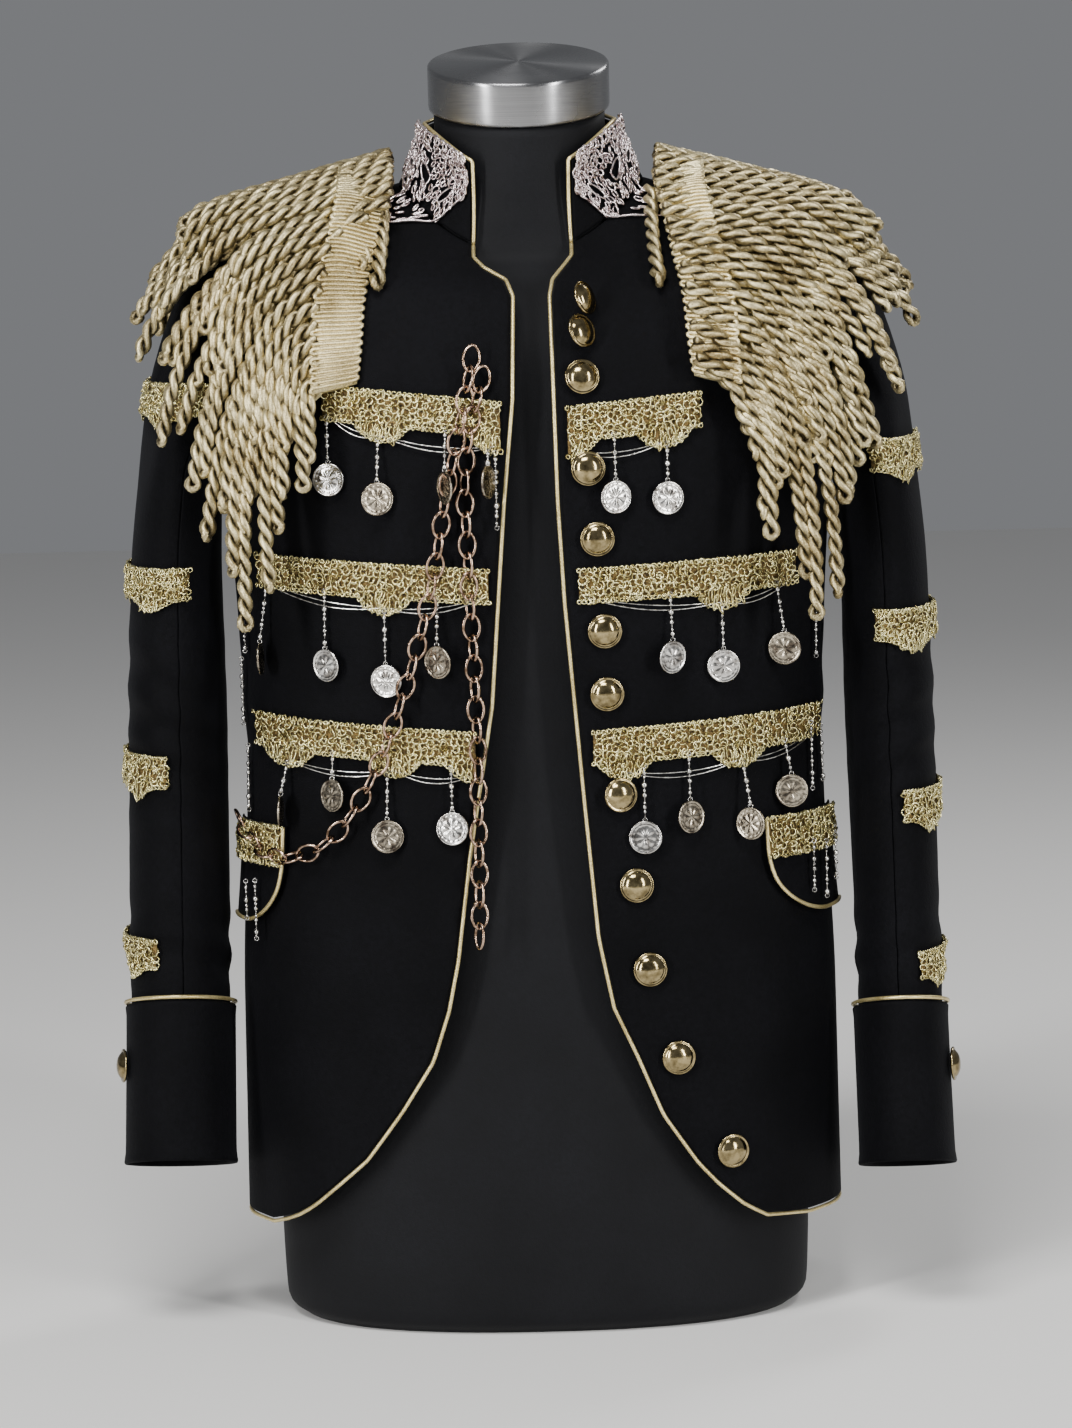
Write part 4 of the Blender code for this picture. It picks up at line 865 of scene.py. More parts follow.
def twisted(path, ways, points):
    """Ropes along their middle lines: one ply out, a closed loop, and the other ply back.
    The third result paints shade into the colour: high on the outer side of each ply, low in the groove
    between the plies and between the lobes."""
    length = np.sum(np.linalg.norm(np.diff(path, axis=1), axis=2), axis=1)
    fine_path, fine_ways = [], []
    for line, way in zip(path, ways):
        row = even_path(np.concatenate([line, way], axis=1), 1e-4)
        at = np.linspace(0, len(row) - 1, points)
        row = np.stack([np.interp(at, np.arange(len(row)), row[:, k]) for k in range(6)], axis=1)
        fine_path.append(row[:, :3])
        fine_ways.append(row[:, 3:])
    middle = eased(np.array(fine_path), 12)
    along, across, up = frames_along(middle, np.array(fine_ways))
    s = np.linspace(0, 1, points)[None, :, None] * length[:, None, None]
    left = length[:, None, None] - s
    turn = 2 * math.pi * s / TWIST_LENGTH + np.arange(len(path))[:, None, None] * 2.4
    out_way = np.cos(turn) * across + np.sin(turn) * up
    side_way = np.cross(along, out_way)
    spread = PLY_OFFSET + 0.0009 * hump(left, 0, 0.006)
    bend = np.linspace(0, math.pi, 9)[None, 1:-1, None]
    tip_out, tip_along = out_way[:, -1:], along[:, -1:]
    loop = middle[:, -1:] + spread[:, -1:] * np.cos(bend) * tip_out + 0.0036 * np.sin(bend) * tip_along
    line = np.concatenate([middle + spread * out_way, loop, (middle - spread * out_way)[:, ::-1]], axis=1)
    wide = np.concatenate([side_way, np.repeat(side_way[:, -1:], 7, axis=1), side_way[:, ::-1]], axis=1)
    run = np.linspace(0, 1, line.shape[1])[None, :] * length[:, None] * 2 * 2 * math.pi / STRAND_TWIST
    lobes = 1 - 0.13 * (np.arange(PLY_SIDES) % 2)
    turn = around(PLY_SIDES) - run[..., None]
    profile = PLY_RADIUS * lobes[:, None] * np.stack([np.cos(turn), np.sin(turn)], axis=-1)
    # Painted shade: low on the inner side of each ply, where the plies meet, and halved at every second
    # profile point, between the lobes.
    painted_lit_share = np.clip(0.46 - 0.78 * np.cos(turn), 0, 1) * (1 - 0.50 * (np.arange(PLY_SIDES) % 2))
    return *swept(line, wide, profile), painted_lit_share.ravel()


for side, sign in SIDE_SIGN.items():
    random = np.random.default_rng(11 if side == "right" else 12)
    for row, (_, _, reach, _) in enumerate(ROPE_ROWS):
        path, ways = rope_lines(side, row, random)
        *ropes, painted_lit_share = twisted(path, ways, int(0.165 * reach / ROPE_STEP))
        ropes = [ropes]
        if row == 2:
            x0, z0, x1, z1 = np.array(LONE_ROPES[side]).T[..., None]
            t = np.linspace(0, 1, ROPE_POINTS)[None, :]
            spot = place_at(sign * (x0 + (x1 - x0) * t**2), z0 + (z1 - z0) * t)
            *lone, lone_painted_lit_share = twisted(on_body(*spot, 0.0062), body_normal(*spot), 34)
            ropes.append(lone)
            painted_lit_share = np.concatenate([painted_lit_share, lone_painted_lit_share])
        piece(f"fringe_ropes_{side}_{row + 1}", *gathered(ropes), rope_gold_painted_shade, "gold_trim",
              f"fringe_{side}_{row + 1}", turned=np.stack([painted_lit_share, 0 * painted_lit_share], axis=-1))

    station = np.linspace(0, len(HEADER_LINE) - 1, BOARD_ROWS)
    head = read_table(HEADER_LINE, station) * [sign, 1, 1]
    away = unit(read_table(SHOULDER_LINE, station) * [sign, 1, 1] - head)
    width = np.linspace(1.0, -0.15, BOARD_COLUMNS)
    board = head[:, None] - away[:, None] * (HEADER_WIDTH * width)[None, :, None]
    board, board_ways = laid(board, 0.0)
    board, board_ways = eased(board, 2), unit(eased(board_ways, 3))
    high = 0.0030 + 0.0115 * np.sin(0.5 * math.pi * np.linspace(0, 1, BOARD_COLUMNS)) ** 1.2
    top = board + board_ways * high[None, :, None]
    foot = board + board_ways * 0.0012
    piece(f"fringe_board_{side}", *shell(top, foot), rope_gold, "gold_trim")

    length = length_of(top[:, 0])
    passes = int(length / GIMP_PITCH)
    run = []
    to_and_fro = np.linspace(0.02, 0.94, 9)
    bulge = (0.0, 0.035, 0.035, 0.0)
    step = (0.08, 0.30, 0.70, 0.92)
    for k in range(passes):
        if k % 2:
            run += [(u, k) for u in to_and_fro[::-1]] + [(0.0 - b, k + d) for b, d in zip(bulge, step)]
        else:
            run += [(u, k) for u in to_and_fro] + [(0.96 + b, k + d) for b, d in zip(bulge, step)]
    run = np.array(run)
    row, column = run[:, 1] / passes * (BOARD_ROWS - 1), run[:, 0] * (BOARD_COLUMNS - 1)
    at_row = np.clip(row.astype(int), 0, BOARD_ROWS - 2)
    at_column = np.clip(column.astype(int), 0, BOARD_COLUMNS - 2)
    past_row, past_column = (row - at_row)[:, None], (column - at_column)[:, None]

    def on_board(grid):
        """A grid's values at the places of the gimp cord."""
        here, after = (
            grid[row, at_column] * (1 - past_column) + grid[row, at_column + 1] * past_column
            for row in (at_row, at_row + 1)
        )
        return here * (1 - past_row) + after * past_row

    up = unit(on_board(board_ways))
    path = on_board(top) + up * GIMP_RADIUS * 0.75
    piece(f"fringe_gimp_{side}", *swept(path, up, circle(6, GIMP_RADIUS)), rope_gold, "gold_trim")

# Chest braids
# Three gold braids a side, worked in looped metal thread like crochet, with one to three tongues,
# and sewn flat on the fronts. Rows: node, side, heights of the top at the outer and inner end,
# outer and inner distance from the middle, and distances of the tongues.
BRAIDS = (
    ("band_right_1", "right", 0.628, 0.615, 0.131, 0.017, (0.093, 0.021)),
    ("band_right_2", "right", 0.518, 0.508, 0.177, 0.027, (0.0945,)),
    ("band_right_3", "right", 0.412, 0.402, 0.182, 0.038, (0.160, 0.091, 0.040)),
    ("band_left_1", "left", 0.618, 0.611, 0.111, 0.026, (0.088, 0.028)),
    ("band_left_2", "left", 0.512, 0.507, 0.172, 0.031, (0.123,)),
    ("band_left_3", "left", 0.408, 0.401, 0.188, 0.038, (0.132, 0.058)),
)
BRAID_HEIGHT, TONGUE_DROP, TONGUE_HALF = 0.019, 0.0105, 0.0165
BRAID_WALL = 0.0010
LOOP_PITCH, LOOP_RADIUS, LOOP_WIRE = 0.0040, 0.0026, 0.00066
BRAID_LIGHT = (1.00, 0.93, 0.50, 1)
BRAID_DARK = (0.30, 0.22, 0.06, 1)
# Painted shade: the ground's gold is darkened to stand for the shade and the black cloth seen between the
# loops.
GROUND_LIGHT = (0.22, 0.14, 0.04, 1)
GROUND_DARK = (0.015, 0.010, 0.004, 1)
braid_gold = finish(
    "braid gold", yarn,
    {"Light": BRAID_LIGHT, "Dark": BRAID_DARK, "Thread": 0.0009, "Patch": 0.006, "Gloss": 0.09},
    bump=0.6, depth=0.0006, Metallic=0.9,
)
ground_gold_painted_shade = finish(
    "braid ground", yarn,
    {"Light": GROUND_LIGHT, "Dark": GROUND_DARK, "Thread": 0.0011, "Patch": 0.003, "Gloss": 0.35},
    bump=0.9, depth=0.0010, Metallic=0.6,
)


def wire_loops(centre, across, up, radius, wire, turns=7, sides=3):
    """Small closed loops of wire, one for each row: radius is (loops, 2)."""
    turn = around(turns)[None, :, None]
    path = centre[:, None] + across[:, None] * radius[:, None, :1] * np.cos(turn)
    path = path + up[:, None] * radius[:, None, 1:] * np.sin(turn)
    flat_up = np.cross(across, up)[:, None] + 0 * path
    return swept(path, flat_up, circle(sides, wire), closed=True)


def looped(on_cloth, spots, high, random, radius=LOOP_RADIUS, tilt=0.7, tall=0.0):
    """Thread loops worked over a cloth at spots given in the cloth's own two directions."""
    u, v = spots[:, 0], spots[:, 1]
    centre = on_cloth(u, v, high)
    across = unit(on_cloth(u + 0.001, v, high) - on_cloth(u - 0.001, v, high))
    up = unit(on_cloth(u, v + 0.001, high) - on_cloth(u, v - 0.001, high))
    out_way = np.cross(across, up)
    a, b, c = random.uniform(-tilt, tilt, (3, len(spots), 1))
    across, up = unit(across + a * out_way + 0.5 * c * up), up + b * out_way
    up = unit(up - across * np.sum(up * across, axis=-1, keepdims=True))
    sizes = radius * random.uniform(0.75, 1.25, (len(spots), 2))
    sizes = sizes * np.stack([1 - 0.45 * tall, 1 + 0.9 * tall], axis=-1)
    return wire_loops(centre, across, up, sizes, LOOP_WIRE)


def on_front(x, z, out):
    return on_body(*place_at(x, z), out)


def braid_edges(x, outer_z, inner_z, outer_x, inner_x, tongues):
    """Heights of a braid's top and bottom, and how far down a tongue each place is."""
    top = np.interp(np.abs(x), (inner_x, outer_x), (inner_z, outer_z))
    from_tongue = np.min([np.abs(np.abs(x) - middle) for middle in tongues], axis=0)
    tongue = np.clip(np.cos(0.5 * math.pi * np.clip(from_tongue / TONGUE_HALF, 0, 1)), 0, 1) ** 0.7
    return top, top - BRAID_HEIGHT - 0.0015 - TONGUE_DROP * tongue, tongue


def scattered(low, high, edges, random):
    """Spots at a loose even spacing between two edges; each also gets its share of a tongue."""
    spots = []
    for u in np.arange(low + LOOP_PITCH / 2, high, LOOP_PITCH):
        top, bottom, tongue = edges(u)
        count = max(2, int(round((top - bottom) / LOOP_PITCH)))
        for k in range(count):
            v = bottom + (top - bottom) * (k + 0.5) / count
            hanging = tongue * (v < top - BRAID_HEIGHT)
            spots.append((u, v, hanging))
    spots = np.array(spots)
    spots[:, :2] += random.uniform(-0.3, 0.3, (len(spots), 2)) * LOOP_PITCH
    return spots


def ground(name, node_name, points, normals):
    """The closed ground of a braid, under its loops, in a gold darkened as painted shade between them."""
    sewn(f"braid_ground_{name}", points, normals, ground_gold_painted_shade, "gold_trim", BRAID_WALL, 0.0,
         nodes=(node_name,))


def worked(name, on_cloth, edges, ends, lift, rims, rim_lift, random):
    """A braid's loops: all over between its ends, and a close row on each rim, with its loop size."""
    spots = scattered(ends[0] + 0.001, ends[1] - 0.001, edges, random)
    parts = [looped(on_cloth, spots, lift, random, tall=spots[:, 2])]
    for rim, size in rims:
        parts.append(looped(on_cloth, rim, rim_lift, random, radius=size, tilt=0.45))
    piece(f"braid_loops_{name}", *gathered(parts), braid_gold, "gold_trim")


random = np.random.default_rng(21)
for name, side, *shape in BRAIDS:
    sign = SIDE_SIGN[side]
    low, high = sorted((sign * shape[2], sign * shape[3]))

    def edges(x):
        return braid_edges(x, *shape)

    x = np.linspace(low, high, 90)
    top, bottom, _ = edges(x)
    down = np.linspace(0, 1, 9)[:, None]
    z = top + (bottom - top) * down
    angle, level = place_at(x + 0 * z, z)
    lumps = random.uniform(-0.0003, 0.0004, z.shape)
    points = on_body(angle, level, LIE_GAP + BRAID_WALL + lumps)
    ground(name[5:], name, points, body_normal(angle, level))
    rims = []
    for line, step, size in ((top, 0.0034, 0.0014), (bottom, 0.0030, 0.0015)):
        rims.append((even_path(np.stack([x, line, 0 * x], axis=1), step)[:, :2], size))
    worked(name[5:], on_front, edges, (low, high), LIE_GAP + 0.0019, rims, LIE_GAP + 0.0018, random)

# Garlands, bead strings and coins
# Two fine silver threads swing from tongue to tongue under each braid. Strings of small beads
# hang from its lower edge, and each carries a thin stamped coin with a rim, a ring of dots and
# a rosette. Rows: braid, then each coin's distance from the middle, height, turn, and 1 where it
# keeps the plain silver or 0 where it takes a darker copy as painted shade.
COINS = (
    ("right_1", ((0.1275, 0.568, 4, 1), (0.095, 0.556, 34, 0), (0.052, 0.563, 58, 0), (0.025, 0.566, 70, 0))),
    ("right_2", ((0.170, 0.450, 50, 0), (0.132, 0.447, 12, 1), (0.094, 0.437, 6, 1), (0.060, 0.450, 30, 0))),
    ("right_3", ((0.160, 0.349, 55, 0), (0.130, 0.361, 20, 0), (0.095, 0.335, 26, 0), (0.054, 0.340, 8, 1))),
    ("left_1", ((0.0555, 0.554, 18, 1), (0.089, 0.552, 5, 1))),
    ("left_2", ((0.089, 0.449, 24, 1), (0.122, 0.441, 14, 1), (0.158, 0.450, 50, 0))),
    ("left_3", ((0.070, 0.331, 10, 1), (0.099, 0.343, 22, 0), (0.134, 0.336, 62, 0), (0.162, 0.354, 40, 0))),
)
COIN_RADIUS, COIN_WALL = 0.0108, 0.0010
COIN_RINGS = (
    0.0006, 0.0016, 0.0026, 0.0036, 0.0046, 0.0056, 0.0066, 0.0074, 0.0079, 0.0084, 0.0090, 0.0094, 0.0099,
    0.0104, 0.0108,
)
COIN_SIDES = 64
BEAD_SIZES = (0.0015, 0.0010, 0.0019, 0.0011, 0.0016, 0.0010)
THREAD = 0.00034
SILVER_LIGHT = (0.84, 0.82, 0.78, 1)
SILVER_DARK = (0.22, 0.20, 0.18, 1)
# Painted shade: the colours of the darker copy of the coin silver.
SHADED_COIN_LIGHT = (0.50, 0.44, 0.34, 1)
SHADED_COIN_DARK = (0.10, 0.08, 0.06, 1)
BEAD_DARK = (0.22, 0.21, 0.20, 1)

worn, place, given, out = effect("worn metal", {
    "Light": (0.8, 0.8, 0.8, 1), "Dark": (0.2, 0.2, 0.2, 1), "Patch": 0.004, "Gloss": 0.2,
})
stain = noise(worn, place, maths(worn, "DIVIDE", 1.0, given["Patch"]), 4.0, Roughness=0.6)
pits = noise(worn, place, 900.0, 2.0)
tone = between(worn, stain, 0.36, 0.60)
worn.links.new(mixed(worn, tone, given["Dark"], given["Light"]), out["Colour"])
worn.links.new(maths(worn, "MULTIPLY_ADD", pits, 0.22, given["Gloss"]), out["Roughness"])
worn.links.new(pits, out["Height"])

bright_coin = finish(
    "silver coin", worn, {"Light": SILVER_LIGHT, "Dark": SILVER_DARK, "Patch": 0.0070, "Gloss": 0.10},
    bump=0.2, depth=0.0002, Metallic=1.0,
)
# Painted shade: a darker copy of the coin silver, for the coins marked 0.
shaded_coin = finish(
    "silver coin in painted shade", worn, {"Light": SHADED_COIN_LIGHT, "Dark": SHADED_COIN_DARK, "Patch": 0.0070, "Gloss": 0.14},
    bump=0.3, depth=0.0002, Metallic=1.0,
)
bead_silver = finish(
    "silver beads", worn, {"Light": SILVER_LIGHT, "Dark": BEAD_DARK, "Patch": 0.0035, "Gloss": 0.10},
    bump=0.1, depth=0.0001, Metallic=0.95,
)


def coin(centre, face, up):
    """A stamped coin: the face has a rosette and a boss, a ring of dots, and a raised rim."""
    across = np.cross(up, face)
    r = np.array(COIN_RINGS)[:, None]
    turn = around(COIN_SIDES)[None, :]
    petals = np.clip((r - 0.0016) / 0.001, 0, 1) * np.clip((0.0068 - r) / 0.0012, 0, 1)
    high = 0.00042 * petals * (0.5 + 0.5 * np.cos(8 * turn)) ** 0.7 + 0.0005 * np.clip(1 - r / 0.0024, 0, 1)
    high = high + 0.00045 * hump(r, 0.0084, 0.0004) * (0.5 + 0.5 * np.cos(16 * turn))
    high = high + 0.00055 * hump(r, 0.0101, 0.0005)
    ring = across * (r * np.cos(turn))[..., None] + up * (r * np.sin(turn))[..., None]
    top = centre + ring + face * (COIN_WALL / 2 + high)[..., None]
    back = (centre + ring - face * COIN_WALL / 2)[[14, 10, 0]]
    return np.concatenate([top, back]), closed_quads(len(COIN_RINGS) + 3, COIN_SIDES)


def bead(centre, axis, radius):
    turn = np.linspace(0.12, math.pi - 0.12, 6)
    across = unit(np.cross(axis, [0.31, 0.95, 0.05]))
    profile = np.stack([radius * np.sin(turn), -radius * np.cos(turn)], axis=-1)
    return turned_points(profile, 8, centre, axis, across), closed_quads(6, 8)


def bead_string(top, foot, random):
    """Beads on a thread from one point to another, with a small ring at each end."""
    length = np.linalg.norm(foot - top)
    axis = (foot - top) / length
    face = unit(np.cross(axis, [1.0, 0, 0]))
    side_way = np.cross(axis, face)
    line = top + axis * np.linspace(0, length, 3)[:, None]
    parts = [swept(line, np.repeat(face[None], 3, axis=0), circle(4, THREAD))]
    parts.append(wire_loops(
        np.array([top, foot]), np.array([side_way] * 2), np.array([axis] * 2), np.full((2, 2), 0.0014),
        THREAD, 10, 4,
    ))
    at, k = 0.0026, 0
    while at < length - 0.0028:
        size = BEAD_SIZES[k % len(BEAD_SIZES)] * random.uniform(0.9, 1.1)
        parts.append(bead(top + axis * (at + size), axis, size))
        at += 2 * size + (0.0022 if k % 3 == 1 else 0.0003)
        k += 1
    return parts


random = np.random.default_rng(31)
braids = {row[0][5:]: row for row in BRAIDS}
for name, coins in COINS:
    _, side, *shape = braids[name]
    outer_x, inner_x, tongues = shape[2:]
    sign = SIDE_SIGN[side]
    beads, lit_coins, shaded_coins, threads = [], [], [], []
    for x, z, turn, lit in coins:
        _, bottom, _ = braid_edges(np.array([x]), *shape)
        n = body_normal(*place_at(sign * x, z))
        turn = math.radians(turn) * (1 if (x * 1000) % 2 < 1 else -1)
        off = COIN_RADIUS * abs(math.sin(turn)) + 0.0024
        centre = on_front(sign * x, z, off)
        level_way = unit(np.cross(n, [0, 0, 1.0]))
        face = unit(n * math.cos(turn) + level_way * math.sin(turn))
        up = unit(np.array([0, 0, 1.0]) - face * face[2])
        # Coins marked 0 take the silver darkened as painted shade.
        (lit_coins if lit else shaded_coins).append(coin(centre, face, up))
        foot = centre + up * (COIN_RADIUS + 0.0006)
        top = on_front(sign * x, bottom[0] + 0.0012, 0.0036)
        beads += bead_string(top, foot, random)
    hooks = sorted({inner_x + 0.003, *tongues, outer_x - 0.003})
    for start, end in zip(hooks[:-1], hooks[1:]):
        if end - start < 0.020:
            continue
        for extra in (0.0, 0.0034):
            t = np.linspace(0, 1, 26)
            x = start + (end - start) * t
            _, low, _ = braid_edges(np.array([start, end]), *shape)
            z = low[0] + (low[1] - low[0]) * t + 0.0035 - (0.0042 + extra) * 4 * t * (1 - t) * 0.9
            path = on_front(sign * x, z, 0.0020 + extra * 0.2)
            threads.append(swept(path, body_normal(*place_at(sign * x, z)), circle(5, 0.00042)))
    piece(f"bead_strings_{name}", *gathered(beads + threads), bead_silver, "silver_lace")
    if lit_coins:
        piece(f"coins_bright_{name}", *gathered(lit_coins), bright_coin, "silver_lace")
    if shaded_coins:
        piece(f"coins_dark_{name}", *gathered(shaded_coins), shaded_coin, "gold_metal")

SIDE_STRINGS = {  # distance from the middle, heights of the top and foot, and how far off the cloth
    "right": (
        (0.0205, 0.584, 0.536, 0.004), (0.186, 0.488, 0.452, 0.004), (0.189, 0.446, 0.402, 0.004),
        (0.187, 0.388, 0.345, 0.004), (0.180, 0.300, 0.262, 0.009), (0.186, 0.298, 0.274, 0.009),
    ),
    "left": (
        (0.176, 0.318, 0.286, 0.009), (0.184, 0.316, 0.280, 0.009), (0.190, 0.318, 0.290, 0.009),
        (0.184, 0.476, 0.440, 0.004), (0.180, 0.396, 0.352, 0.004), (0.187, 0.392, 0.356, 0.004),
    ),
}
for side, strings in SIDE_STRINGS.items():
    beads = []
    for x, top_z, foot_z, off in strings:
        x *= SIDE_SIGN[side]
        beads += bead_string(on_front(x, top_z, off), on_front(x, foot_z, off), random)
    piece(f"bead_strings_side_{side}", *gathered(beads), bead_silver, "silver_lace")

# Sleeve and flap braids
# Shorter lengths of the same braid lie across each sleeve and along the top of each flap.
# Rows: height of the top, depth, and the angles where it starts behind and ends in front.
SLEEVE_BRAIDS = {
    "right": (
        (0.628, 0.026, -62, 98), (0.508, 0.026, -64, 112), (0.384, 0.026, -56, 84), (0.263, 0.024, -48, 70),
    ),
    "left": (
        (0.582, 0.026, -62, 100), (0.470, 0.026, -64, 110), (0.350, 0.026, -56, 84), (0.243, 0.022, -48, 70),
    ),
}
FLAP_BRAID_END, FLAP_BRAID_TOP, FLAP_BRAID_FOOT = FLAP_END - 4.5, FLAP_TOP - 0.001, FLAP_TOP - 0.026
RIM_PITCH, RIM_LOOP = 0.0032, 0.0014


def ring_at(side, turn, z):
    """The ring of a sleeve that has this height at this turn."""
    low, high = np.zeros(np.shape(turn)), np.full(np.shape(turn), 6.0)
    for _ in range(30):
        middle = (low + high) / 2
        above = sleeve_surface(side, turn, middle)[..., 2] > z
        low, high = np.where(above, middle, low), np.where(above, high, middle)
    return low


random = np.random.default_rng(41)
for side, rows in SLEEVE_BRAIDS.items():
    for k, (top, depth, behind, before) in enumerate(rows):
        start, end = math.radians(behind), math.radians(before)
        turns = np.linspace(start, end, 40)
        line = on_sleeve(side, turns, ring_at(side, turns, np.full(40, top)))
        girth = length_of(line)

        def edges(u):
            t = u / girth
            tongue = np.clip(np.sin(2 * math.pi * t) ** 2, 0, 1) ** 2
            return top + 0 * u, top - depth * 0.72 - depth * 0.28 * tongue, tongue

        def on_cloth(u, z, out):
            turn = start + (end - start) * u / girth
            return on_sleeve(side, turn, ring_at(side, turn, z), out)

        u, down = np.meshgrid(np.linspace(0, girth, 60), np.linspace(0, 1, 8))
        high, low, _ = edges(u)
        z = high + (low - high) * down
        turn = start + (end - start) * u / girth
        ring = ring_at(side, turn, z)
        points = on_sleeve(side, turn, ring, 0.0024 + random.uniform(-0.0003, 0.0003, z.shape))
        normals = sleeve_normal(side, turn, ring)
        ground(f"sleeve_{side}_{k + 1}", f"sleeve_band_{side}_{k + 1}", points, normals)
        line = np.linspace(0, girth, int(girth / RIM_PITCH))
        rims = [(np.stack([line, height], axis=1), RIM_LOOP) for height in edges(line)[:2]]
        worked(f"sleeve_{side}_{k + 1}", on_cloth, edges, (0, girth), 0.0028, rims, 0.0027, random)

for side, sign in SIDE_SIGN.items():
    start, end = math.radians(FLAP_START[side]), math.radians(FLAP_BRAID_END)
    out_of_flap = 2 * LIE_GAP + FLAP_WALL + 0.0004
    line = on_body(sign * np.linspace(start, end, 30), level_of(np.full(30, FLAP_TOP)))
    girth = length_of(line)

    def edges(u):
        return FLAP_BRAID_TOP + 0 * u, FLAP_BRAID_FOOT + 0 * u, 0 * u

    def on_cloth(u, z, out):
        return on_body(sign * (start + (end - start) * u / girth), level_of(z), out)

    u, down = np.meshgrid(np.linspace(0, girth, 50), np.linspace(0, 1, 9))
    high, low, _ = edges(u)
    angle, level = sign * (start + (end - start) * u / girth), level_of(high + (low - high) * down)
    points = on_body(angle, level, out_of_flap + BRAID_WALL + random.uniform(-0.0003, 0.0003, u.shape))
    ground(f"flap_{side}", f"flap_band_{side}", points, body_normal(angle, level))
    line = np.linspace(0, girth, int(girth / RIM_PITCH))
    rims = [(np.stack([line, height], axis=1), RIM_LOOP) for height in edges(line)[:2]]
    worked(f"flap_{side}", on_cloth, edges, (0, girth), out_of_flap + 0.0018, rims,
           out_of_flap + 0.0016, random)

# Collar lace
# A leaf of silver-rose metal lace on each side of the collar, from its top edge down on to the
# shoulder: scrolls of wire worked close together round three open eyes, and a corded outline.
LACE_START, LACE_END = math.radians(2), math.radians(86)
LACE_LOW = np.array((
    (0.0, 0.60), (0.15, 0.33), (0.32, -0.12), (0.47, -0.60), (0.58, -0.34), (0.72, 0.0), (1.0, 0.36),
))
LACE_HIGH = np.array(((0.0, 1.09), (0.30, 1.07), (0.60, 1.03), (1.0, 1.05)))
LACE_ROSE = (0.95, 0.84, 0.83, 1)
LACE_DARK = (0.26, 0.18, 0.18, 1)
LACE_EYES = ((0.22, 0.30), (0.52, 0.62), (0.80, 0.40))
LACE_EYE_SIZE = 0.10
LACE_LIFT = 0.0022
lace_silver = finish(
    "rose silver lace", worn, {"Light": LACE_ROSE, "Dark": LACE_DARK, "Patch": 0.0035, "Gloss": 0.10},
    bump=0.3, depth=0.0003, Metallic=0.85,
)


def on_lace(sign, along, across, out):
    """A place on the lace: along runs from the collar's front corner round to the shoulder."""
    start = COLLAR_START + LACE_START
    angle = sign * (start + (LACE_END - start) * along)
    low, high = np.interp(along, *LACE_LOW.T), np.interp(along, *LACE_HIGH.T)
    share = low + (high - low) * across
    level = NECK_LEVEL + np.minimum(share, 0) * 2.2
    out = out + 0.0022 * np.clip((share - 0.8) / 0.2, 0, 1)
    upper = collar_surface(angle, np.clip(share, 0, 1.1)) + [0, 0, COLLAR_SEAM]
    n_up = collar_normal(angle, np.clip(share, 0, 1))
    n_low = body_normal(angle, level)
    blend = np.clip(0.5 + 3 * share, 0, 1)[..., None]
    n = unit(n_up * blend + n_low * (1 - blend))
    lower = on_body(angle, level)
    return np.where((share >= 0)[..., None], upper, lower) + n * np.asarray(out)[..., None]


random = np.random.default_rng(51)
for side, sign in SIDE_SIGN.items():
    along, across = np.meshgrid(np.linspace(0.02, 0.98, 16), np.linspace(0.04, 0.96, 14))
    spots = np.stack([along.ravel(), across.ravel()], axis=1) + random.uniform(-0.028, 0.028, (along.size, 2))
    clear = np.ones(len(spots), bool)
    for eye in LACE_EYES:
        clear &= np.hypot(spots[:, 0] - eye[0], (spots[:, 1] - eye[1]) * 1.2) > LACE_EYE_SIZE
    spots = spots[clear]

    def on_cloth(u, v, out):
        return on_lace(sign, u, v, np.asarray(out) + 0 * u)

    centre = on_cloth(spots[:, 0], spots[:, 1], LACE_LIFT)
    run = unit(on_cloth(spots[:, 0] + 0.01, spots[:, 1], LACE_LIFT) - centre)
    up = unit(on_cloth(spots[:, 0], spots[:, 1] + 0.01, LACE_LIFT) - centre)
    out_way = np.cross(run, up)
    tilt = random.uniform(-0.5, 0.5, (2, len(spots), 1))
    run, up = unit(run + tilt[0] * out_way), unit(up + tilt[1] * out_way)
    sizes = random.uniform(0.0014, 0.0030, (len(spots), 2))
    parts = [wire_loops(centre, run, up, sizes, 0.00058, 12, 5)]
    edge = np.linspace(0, 1, 60)
    outline = np.concatenate([
        np.stack([edge, 0 * edge], axis=1), np.stack([0 * edge + 1, edge], axis=1)[1:],
        np.stack([edge[::-1], 0 * edge + 1], axis=1)[1:], np.stack([0 * edge, edge[::-1]], axis=1)[1:-1],
    ])
    ropes = [(outline, LACE_LIFT + 0.0004 * np.sin(np.arange(len(outline)) * 1.3), 0.0008)]
    for eye in LACE_EYES:
        turn = around(22)
        u = eye[0] + LACE_EYE_SIZE * 0.82 * np.cos(turn)
        v = eye[1] + LACE_EYE_SIZE * 0.68 * np.sin(turn)
        ropes.append((np.stack([u, v], axis=1), 0.0026, 0.0007))
    for line, out, radius in ropes:
        rope = on_cloth(line[:, 0], line[:, 1], out)
        up = np.repeat([[0.2 * sign, -0.9, 0.3]], len(rope), axis=0)
        parts.append(swept(rope, up, circle(6, radius), closed=True))
    piece(f"lace_leaf_{side}", *gathered(parts), lace_silver, "silver_lace", f"lace_{side}")

